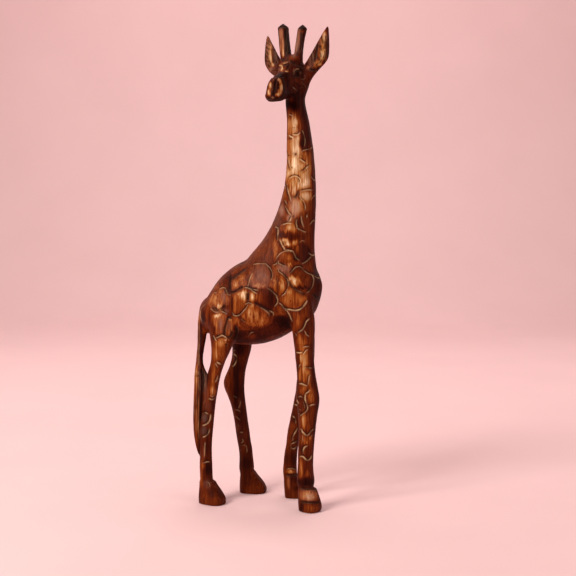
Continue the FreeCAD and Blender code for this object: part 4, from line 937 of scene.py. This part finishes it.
# ---- cutting the skin into pieces ----
def split_in_plane(skin, middle, normal, wanted=lambda face: True):
    """Cuts the wanted faces that are near a plane along it."""
    faces = []
    for face in skin.faces:
        away = face.calc_center_median() - middle
        if abs(away.dot(normal)) < JOINT_REACH and wanted(face):
            faces.append(face)
    around = set(faces)
    for face in faces:
        around.update(face.edges)
        around.update(face.verts)
    bmesh.ops.bisect_plane(skin, geom=list(around), dist=0.00002, plane_co=middle, plane_no=normal)


def piece_of(face, owner):
    """The piece that a face belongs to."""
    middle = face.calc_center_median()
    votes = [vert[owner] for vert in face.verts]
    most = PIECES[max(sorted(set(votes)), key=votes.count)]
    from_head = middle - Vector(HEAD_MIDDLE)
    out = from_head.dot(Vector(HEAD_LEFT))
    in_neck = abs(out) < NECK_HALF_WIDTH and from_head.dot(Vector(HEAD_FACE)) < NECK_FRONT
    # The chin hangs a little below the joint.
    if middle.z > HEAD_JOINT_Z - 3 * MM and (middle.z > HEAD_JOINT_Z or not in_neck):
        if out > EAR_JOINT_OUT:
            return "left_ear"
        if out < -EAR_JOINT_OUT:
            return "right_ear"
        if middle.z > HORN_JOINT_Z:
            return "left_horn" if out > 0 else "right_horn"
        return "head"
    if middle.z > NECK_JOINT_Z:
        return "neck"
    if most == "tail" and middle.z < TAIL_JOINT_Z:
        return "tail"
    if most in LEGS and middle.z < LEG_JOINT_Z:
        return most
    if most == "torso" and middle.z < LEG_TOP_Z:
        return min(LEGS, key=lambda name: (Vector(middle) - sum(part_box(name), Vector()) / 2).length)
    return "torso"


def cut_up(mesh):
    """One closed mesh for each piece."""
    skin = bmesh.new()
    skin.from_mesh(mesh)
    owner = skin.verts.layers.int["owner"]
    up = Vector((0, 0, 1))
    left = Vector(HEAD_LEFT)

    for height in (NECK_JOINT_Z, HEAD_JOINT_Z, LEG_JOINT_Z, TAIL_JOINT_Z, HORN_JOINT_Z):
        split_in_plane(skin, Vector((0, 0, height)), up)
    for side in (1, -1):
        plane = Vector(HEAD_MIDDLE) + left * (side * EAR_JOINT_OUT)
        split_in_plane(skin, plane, left, lambda face: face.calc_center_median().z > EAR_FOOT_Z)

    groups = {name: [] for name in PIECES}
    skin.faces.ensure_lookup_table()
    for face in skin.faces:
        groups[piece_of(face, owner)].append(face)
    meshes = {}
    layers = [skin.verts.layers.float[name] for name in ATTRIBUTES]
    for name, faces in groups.items():
        part = bmesh.new()
        copies = [part.verts.layers.float.new(layer.name) for layer in layers]
        made = {}
        for face in faces:
            corners = []
            for vert in face.verts:
                if vert.index not in made or made[vert.index][0] is not vert:
                    twin = part.verts.new(vert.co)
                    for layer, copy in zip(layers, copies):
                        twin[copy] = vert[layer]
                    made[vert.index] = (vert, twin)
                corners.append(made[vert.index][1])
            part.faces.new(corners).smooth = True
        rim = [edge for edge in part.edges if edge.is_boundary]
        caps = bmesh.ops.holes_fill(part, edges=rim, sides=0)["faces"]
        for edge in rim:
            edge.smooth = False
        caps = bmesh.ops.triangulate(part, faces=caps)["faces"]
        for face in caps:
            face.smooth = False
        bmesh.ops.recalc_face_normals(part, faces=part.faces[:])
        result = bpy.data.meshes.new(name + "_skin")
        part.to_mesh(result)
        part.free()
        meshes[name] = result
    skin.free()
    return meshes


# ---- materials ----
class Tree:
    """A short way to lay out shader nodes."""

    def __init__(self, material):
        material.use_nodes = True
        self.tree = material.node_tree
        self.tree.nodes.clear()

    def node(self, kind, settings=None, **inputs):
        made = self.tree.nodes.new(kind)
        for key, value in (settings or {}).items():
            setattr(made, key, value)
        for key, value in inputs.items():
            self.plug(made, key, value)
        return made

    def plug(self, made, key, value):
        """Sets or links one input, named by its label (with _ for a space) or by its number after an i."""
        numbered = key[0] == "i" and key[1:].isdigit()
        socket = made.inputs[int(key[1:]) if numbered else key.replace("_", " ")]
        if isinstance(value, bpy.types.NodeSocket):
            self.tree.links.new(value, socket)
        else:
            socket.default_value = value

    def math(self, operation, first, second=0.0, clamp=False):
        settings = {"operation": operation, "use_clamp": clamp}
        return self.node("ShaderNodeMath", settings, i0=first, i1=second).outputs[0]

    def swung(self, value, amount):
        """A noise value as a swing either side of 0."""
        return self.math("MULTIPLY", self.math("SUBTRACT", value, 0.5), amount)

    def mix(self, factor, first, second, blend="MIX"):
        made = self.node("ShaderNodeMix", {"data_type": "RGBA", "blend_type": blend, "clamp_factor": True})
        self.plug(made, "i0", factor)
        self.plug(made, "i6", first)
        self.plug(made, "i7", second)
        return made.outputs[2]

    def attribute(self, name):
        return self.node("ShaderNodeAttribute", {"attribute_name": name}).outputs["Fac"]

    def ramp(self, factor, stops):
        made = self.node("ShaderNodeValToRGB", i0=factor)
        elements = made.color_ramp.elements
        while len(elements) < len(stops):
            elements.new(0.5)
        for element, (position, colour) in zip(elements, stops):
            element.position = position
            element.color = (*colour, 1.0)
        return made.outputs[0]

    def noise(self, vector, scale, detail, roughness=0.55):
        made = self.node("ShaderNodeTexNoise", Vector=vector, Scale=scale, Detail=detail, Roughness=roughness)
        return made.outputs["Fac"]

    def stretched(self, vector, scale, turn=(0.0, 0.0, 0.0)):
        return self.node("ShaderNodeMapping", Vector=vector, Scale=scale, Rotation=turn).outputs[0]


STAIN_COLOURS = [
    (0.00, (0.0100, 0.0010, 0.0003)),
    (0.14, (0.0360, 0.0038, 0.0008)),
    (0.30, (0.0820, 0.0112, 0.0016)),
    (0.46, (0.1600, 0.0290, 0.0036)),
    (0.61, (0.2750, 0.0740, 0.0120)),
    (0.73, (0.3700, 0.1520, 0.0430)),
    (0.84, (0.4650, 0.2600, 0.1200)),
    (0.93, (0.5600, 0.3600, 0.2020)),
    # The palest stop is lifted above bare wood, so the palest stains carry painted highlights.
    (1.00, (0.8300, 0.6150, 0.3950)),
]


BARE_WOOD_COLOURS = [(0.30, (0.52, 0.285, 0.120)), (0.70, (0.84, 0.570, 0.320))]
# The colour of the painted sheen: greyish highlights laid into the wood's colour.
PAINTED_SHEEN_COLOUR = (0.370, 0.200, 0.140, 1.0)
# Soot and painted shade: burnt marks, and shade painted on the cuts' upper lips and in their grooves.
SOOT_AND_SHADE_COLOUR = (0.0130, 0.0022, 0.0012, 1.0)
RED_TINT = (1.05, 0.82, 0.70, 1.0)
PORE_TINT = (0.35, 0.28, 0.25, 1.0)
DOWEL_TONE = 0.86


def wood(name, shine, flat_tone=None):
    """Wood with upright grain, coloured by the skin's attributes (stain tone, painted sheen, pale cut wood,
    soot and painted shade), or evenly where a flat tone is given.
    """
    material = bpy.data.materials.new(name)
    t = Tree(material)
    where = t.node("ShaderNodeTexCoord").outputs["Object"]
    fibres = t.noise(t.stretched(where, (620.0, 620.0, 22.0)), 1.0, 5.0, 0.65)
    bands = t.noise(t.stretched(where, (190.0, 190.0, 10.0)), 1.0, 4.0, 0.6)
    clouds = t.noise(where, 34.0, 3.0, 0.5)
    pores = t.noise(t.stretched(where, (1500.0, 1500.0, 120.0)), 1.0, 2.0, 0.5)
    scratches = t.noise(t.stretched(where, (160.0, 900.0, 700.0), (0.5, 0.3, 0.9)), 1.0, 3.0, 0.5)
    streaks = t.noise(t.stretched(where, (430.0, 430.0, 26.0)), 1.0, 2.0, 0.5)

    stained_by_hand = flat_tone is None
    if stained_by_hand:
        tone, painted_sheen, cut, soot_and_shade = [t.attribute(name) for name in ATTRIBUTES]
    else:
        tone = t.math("ADD", flat_tone, 0.0)

    # The grain swings the tone most on light browns, less on black and on the palest wood.
    swing = t.math("ADD", t.swung(fibres, 0.85), t.swung(bands, 0.75))
    swing = t.math("ADD", swing, t.swung(clouds, 0.12))
    dark_streaks = t.math("MULTIPLY", t.math("SUBTRACT", streaks, 0.54), 9.0, clamp=True)
    swing = t.math("SUBTRACT", swing, t.math("MULTIPLY", dark_streaks, 0.20))
    room = t.math("ADD", 0.18, t.math("MULTIPLY", tone, 0.9), clamp=True)
    palest = t.math("MULTIPLY", t.math("SUBTRACT", tone, 0.74), 3.6, clamp=True)
    room = t.math("MULTIPLY", room, t.math("SUBTRACT", 1.0, t.math("MULTIPLY", palest, 0.55)))
    stained = t.math("ADD", tone, t.math("MULTIPLY", swing, room), clamp=True)
    colour = t.ramp(stained, STAIN_COLOURS)
    rough = t.math("ADD", 0.30, t.math("MULTIPLY", fibres, 0.22))
    rough = t.math("ADD", rough, t.math("MULTIPLY", t.math("SUBTRACT", 1.0, tone), 0.06))

    if stained_by_hand:
        red = t.math("MULTIPLY", t.noise(where, 22.0, 2.0, 0.5), 0.55, clamp=True)
        colour = t.mix(red, colour, t.mix(1.0, colour, RED_TINT, "MULTIPLY"))
        # Painted sheen: greyish patches of highlight laid into the colour, also made a little rougher.
        painted_sheen_share = t.math("MULTIPLY", painted_sheen, t.math("ADD", 0.15, t.math("MULTIPLY", bands, 0.95)))
        colour = t.mix(painted_sheen_share, colour, PAINTED_SHEEN_COLOUR)
        shown = t.math("MULTIPLY", cut, t.math("ADD", 0.50, tone, clamp=True))
        colour = t.mix(shown, colour, t.ramp(fibres, BARE_WOOD_COLOURS))
        # Soot and painted shade darken the colour.
        dark = t.math("MULTIPLY", soot_and_shade, t.math("ADD", 0.55, t.math("MULTIPLY", clouds, 0.5)), clamp=True)
        colour = t.mix(dark, colour, SOOT_AND_SHADE_COLOUR)
        rough = t.math("ADD", rough, t.math("MULTIPLY", cut, 0.16))
        rough = t.math("ADD", rough, t.math("MULTIPLY", painted_sheen, 0.05))

    specks = t.math("GREATER_THAN", pores, 0.66)
    colour = t.mix(t.math("MULTIPLY", specks, 0.35), colour, t.mix(1.0, colour, PORE_TINT, "MULTIPLY"))
    relief = t.math("ADD", t.math("MULTIPLY", fibres, 0.6), t.math("MULTIPLY", scratches, 0.25))
    relief = t.math("SUBTRACT", relief, t.math("MULTIPLY", specks, 0.35))
    bump = t.node("ShaderNodeBump", Strength=0.45, Distance=0.4 * MM, Height=relief).outputs[0]
    shader = t.node("ShaderNodeBsdfPrincipled", Base_Color=colour, Roughness=rough, Normal=bump)
    shader.inputs["Specular IOR Level"].default_value = 0.04
    shader.inputs["Coat Weight"].default_value = shine
    shader.inputs["Coat Roughness"].default_value = 0.28
    shader.inputs["Coat IOR"].default_value = 1.45
    t.node("ShaderNodeOutputMaterial", Surface=shader.outputs[0])
    return material


def floor_finish():
    material = bpy.data.materials.new("pale_floor")
    t = Tree(material)
    where = t.node("ShaderNodeTexCoord").outputs["Object"]
    colour = t.ramp(t.noise(where, 3.0, 3.0), [(0.3, (0.76, 0.505, 0.495)), (0.7, (0.79, 0.530, 0.520))])
    shader = t.node("ShaderNodeBsdfPrincipled", Base_Color=colour, Roughness=0.85)
    t.node("ShaderNodeOutputMaterial", Surface=shader.outputs[0])
    return material


# ---- build ----
skin = merged_skin()
smoothed(skin)
skin = modified(skin, "SUBSURF", levels=1, render_levels=1)
carve_and_stain(skin)
finishes = {
    "carved_wood": wood("carved_wood", 0.014),
    "burnt_wood": wood("burnt_wood", 0.016),
    "ear_wood": wood("ear_wood", 0.008),
}
for piece_name, piece_mesh in cut_up(skin).items():
    piece = bpy.data.objects.new(piece_name + "_carving", piece_mesh)
    bpy.context.scene.collection.objects.link(piece)
    slot_name = SLOTS.get(piece_name, "carved_wood")
    piece_mesh.materials.append(finishes[slot_name])
    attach(piece, "root")
    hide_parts(piece_name)

dowel_finish = wood("dowel_wood", 0.0, DOWEL_TONE)
for node_name, node in nodes.items():
    if node_name.endswith("_dowel") or "_dowel_" in node_name:
        node.data.materials.clear()
        node.data.materials.append(dowel_finish)


# ---- stage, light and camera ----
def stage_sheet():
    """A floor that curves up into a backdrop."""
    half_width, front, depth, rise, bend = 7.0, 5.0, 3.2, 5.0, 1.2
    bend_steps = 12
    profile = [(-front, 0.0)]
    for step in range(bend_steps + 1):
        angle = math.pi / 2 * step / bend_steps
        profile.append((depth - bend + bend * math.sin(angle), bend - bend * math.cos(angle)))
    profile.append((depth, rise))
    back = -Vector(TOWARDS_EYE)
    side = Vector(ACROSS)
    sheet = bmesh.new()
    rows = []
    for along, up_z in profile:
        middle = back * along + Vector((0, 0, up_z))
        rows.append([sheet.verts.new(middle + side * offset) for offset in (-half_width, half_width)])
    for first, second in zip(rows[:-1], rows[1:]):
        sheet.faces.new((first[0], first[1], second[1], second[0])).smooth = True
    mesh = bpy.data.meshes.new("floor")
    sheet.to_mesh(mesh)
    sheet.free()
    return bpy.data.objects.new("floor", mesh)


floor = stage_sheet()
floor.data.materials.append(floor_finish())
bpy.context.scene.collection.objects.link(floor)


def area_light(name, offset, target, size, power, colour):
    """A square soft light at an offset (to the right of the view, towards the eye, up) from the target."""
    light = bpy.data.lights.new(name, "AREA")
    light.shape = "SQUARE"
    light.size = size
    light.energy = power
    light.color = colour
    holder = bpy.data.objects.new(name, light)
    right, towards, up_z = offset
    place = Vector(ACROSS) * right + Vector(TOWARDS_EYE) * towards + Vector((0, 0, up_z))
    holder.location = Vector(target) + place
    holder.rotation_mode = "QUATERNION"
    holder.rotation_quaternion = (-place).to_track_quat("-Z", "Y")
    bpy.context.scene.collection.objects.link(holder)


# Name, offset, target, size, power and colour.
STATUE = (0.0, 0.0, 0.36)
BACKDROP = (-0.95, 2.9, 0.7)
LIGHTS = (
    ("key", (-1.3, 1.2, 1.1), STATUE, 0.8, 42.0, (1.0, 0.97, 0.92)),
    ("fill", (1.6, 1.3, 0.5), STATUE, 1.5, 11.0, (1.0, 0.92, 0.90)),
    ("top", (0.2, -0.2, 2.0), STATUE, 1.3, 12.0, (1.0, 0.95, 0.94)),
    ("rear_left", (-1.3, -1.1, 0.9), STATUE, 1.1, 5.0, (1.0, 0.93, 0.92)),
    ("rear_right", (1.5, -1.0, 0.7), STATUE, 1.1, 4.0, (1.0, 0.90, 0.90)),
    ("backdrop", (0.0, 1.9, 1.9), BACKDROP, 1.6, 44.0, (1.0, 0.95, 0.94)),
)
for light_settings in LIGHTS:
    area_light(*light_settings)

world = bpy.data.worlds.new("studio")
world.use_nodes = True
background = world.node_tree.nodes["Background"]
background.inputs["Color"].default_value = (0.90, 0.70, 0.69, 1.0)
background.inputs["Strength"].default_value = 0.30
bpy.context.scene.world = world
bpy.context.scene.view_settings.view_transform = "Standard"

camera = bpy.data.cameras.new("camera")
camera.sensor_width = 36.0
camera.lens = 74.2
camera.clip_end = 50.0
view_point = bpy.data.objects.new("camera", camera)
view_point.location = Vector(EYE)
view_point.rotation_mode = "QUATERNION"
view_point.rotation_quaternion = Vector(SIGHT).to_track_quat("-Z", "Y")
bpy.context.scene.collection.objects.link(view_point)
bpy.context.scene.camera = view_point
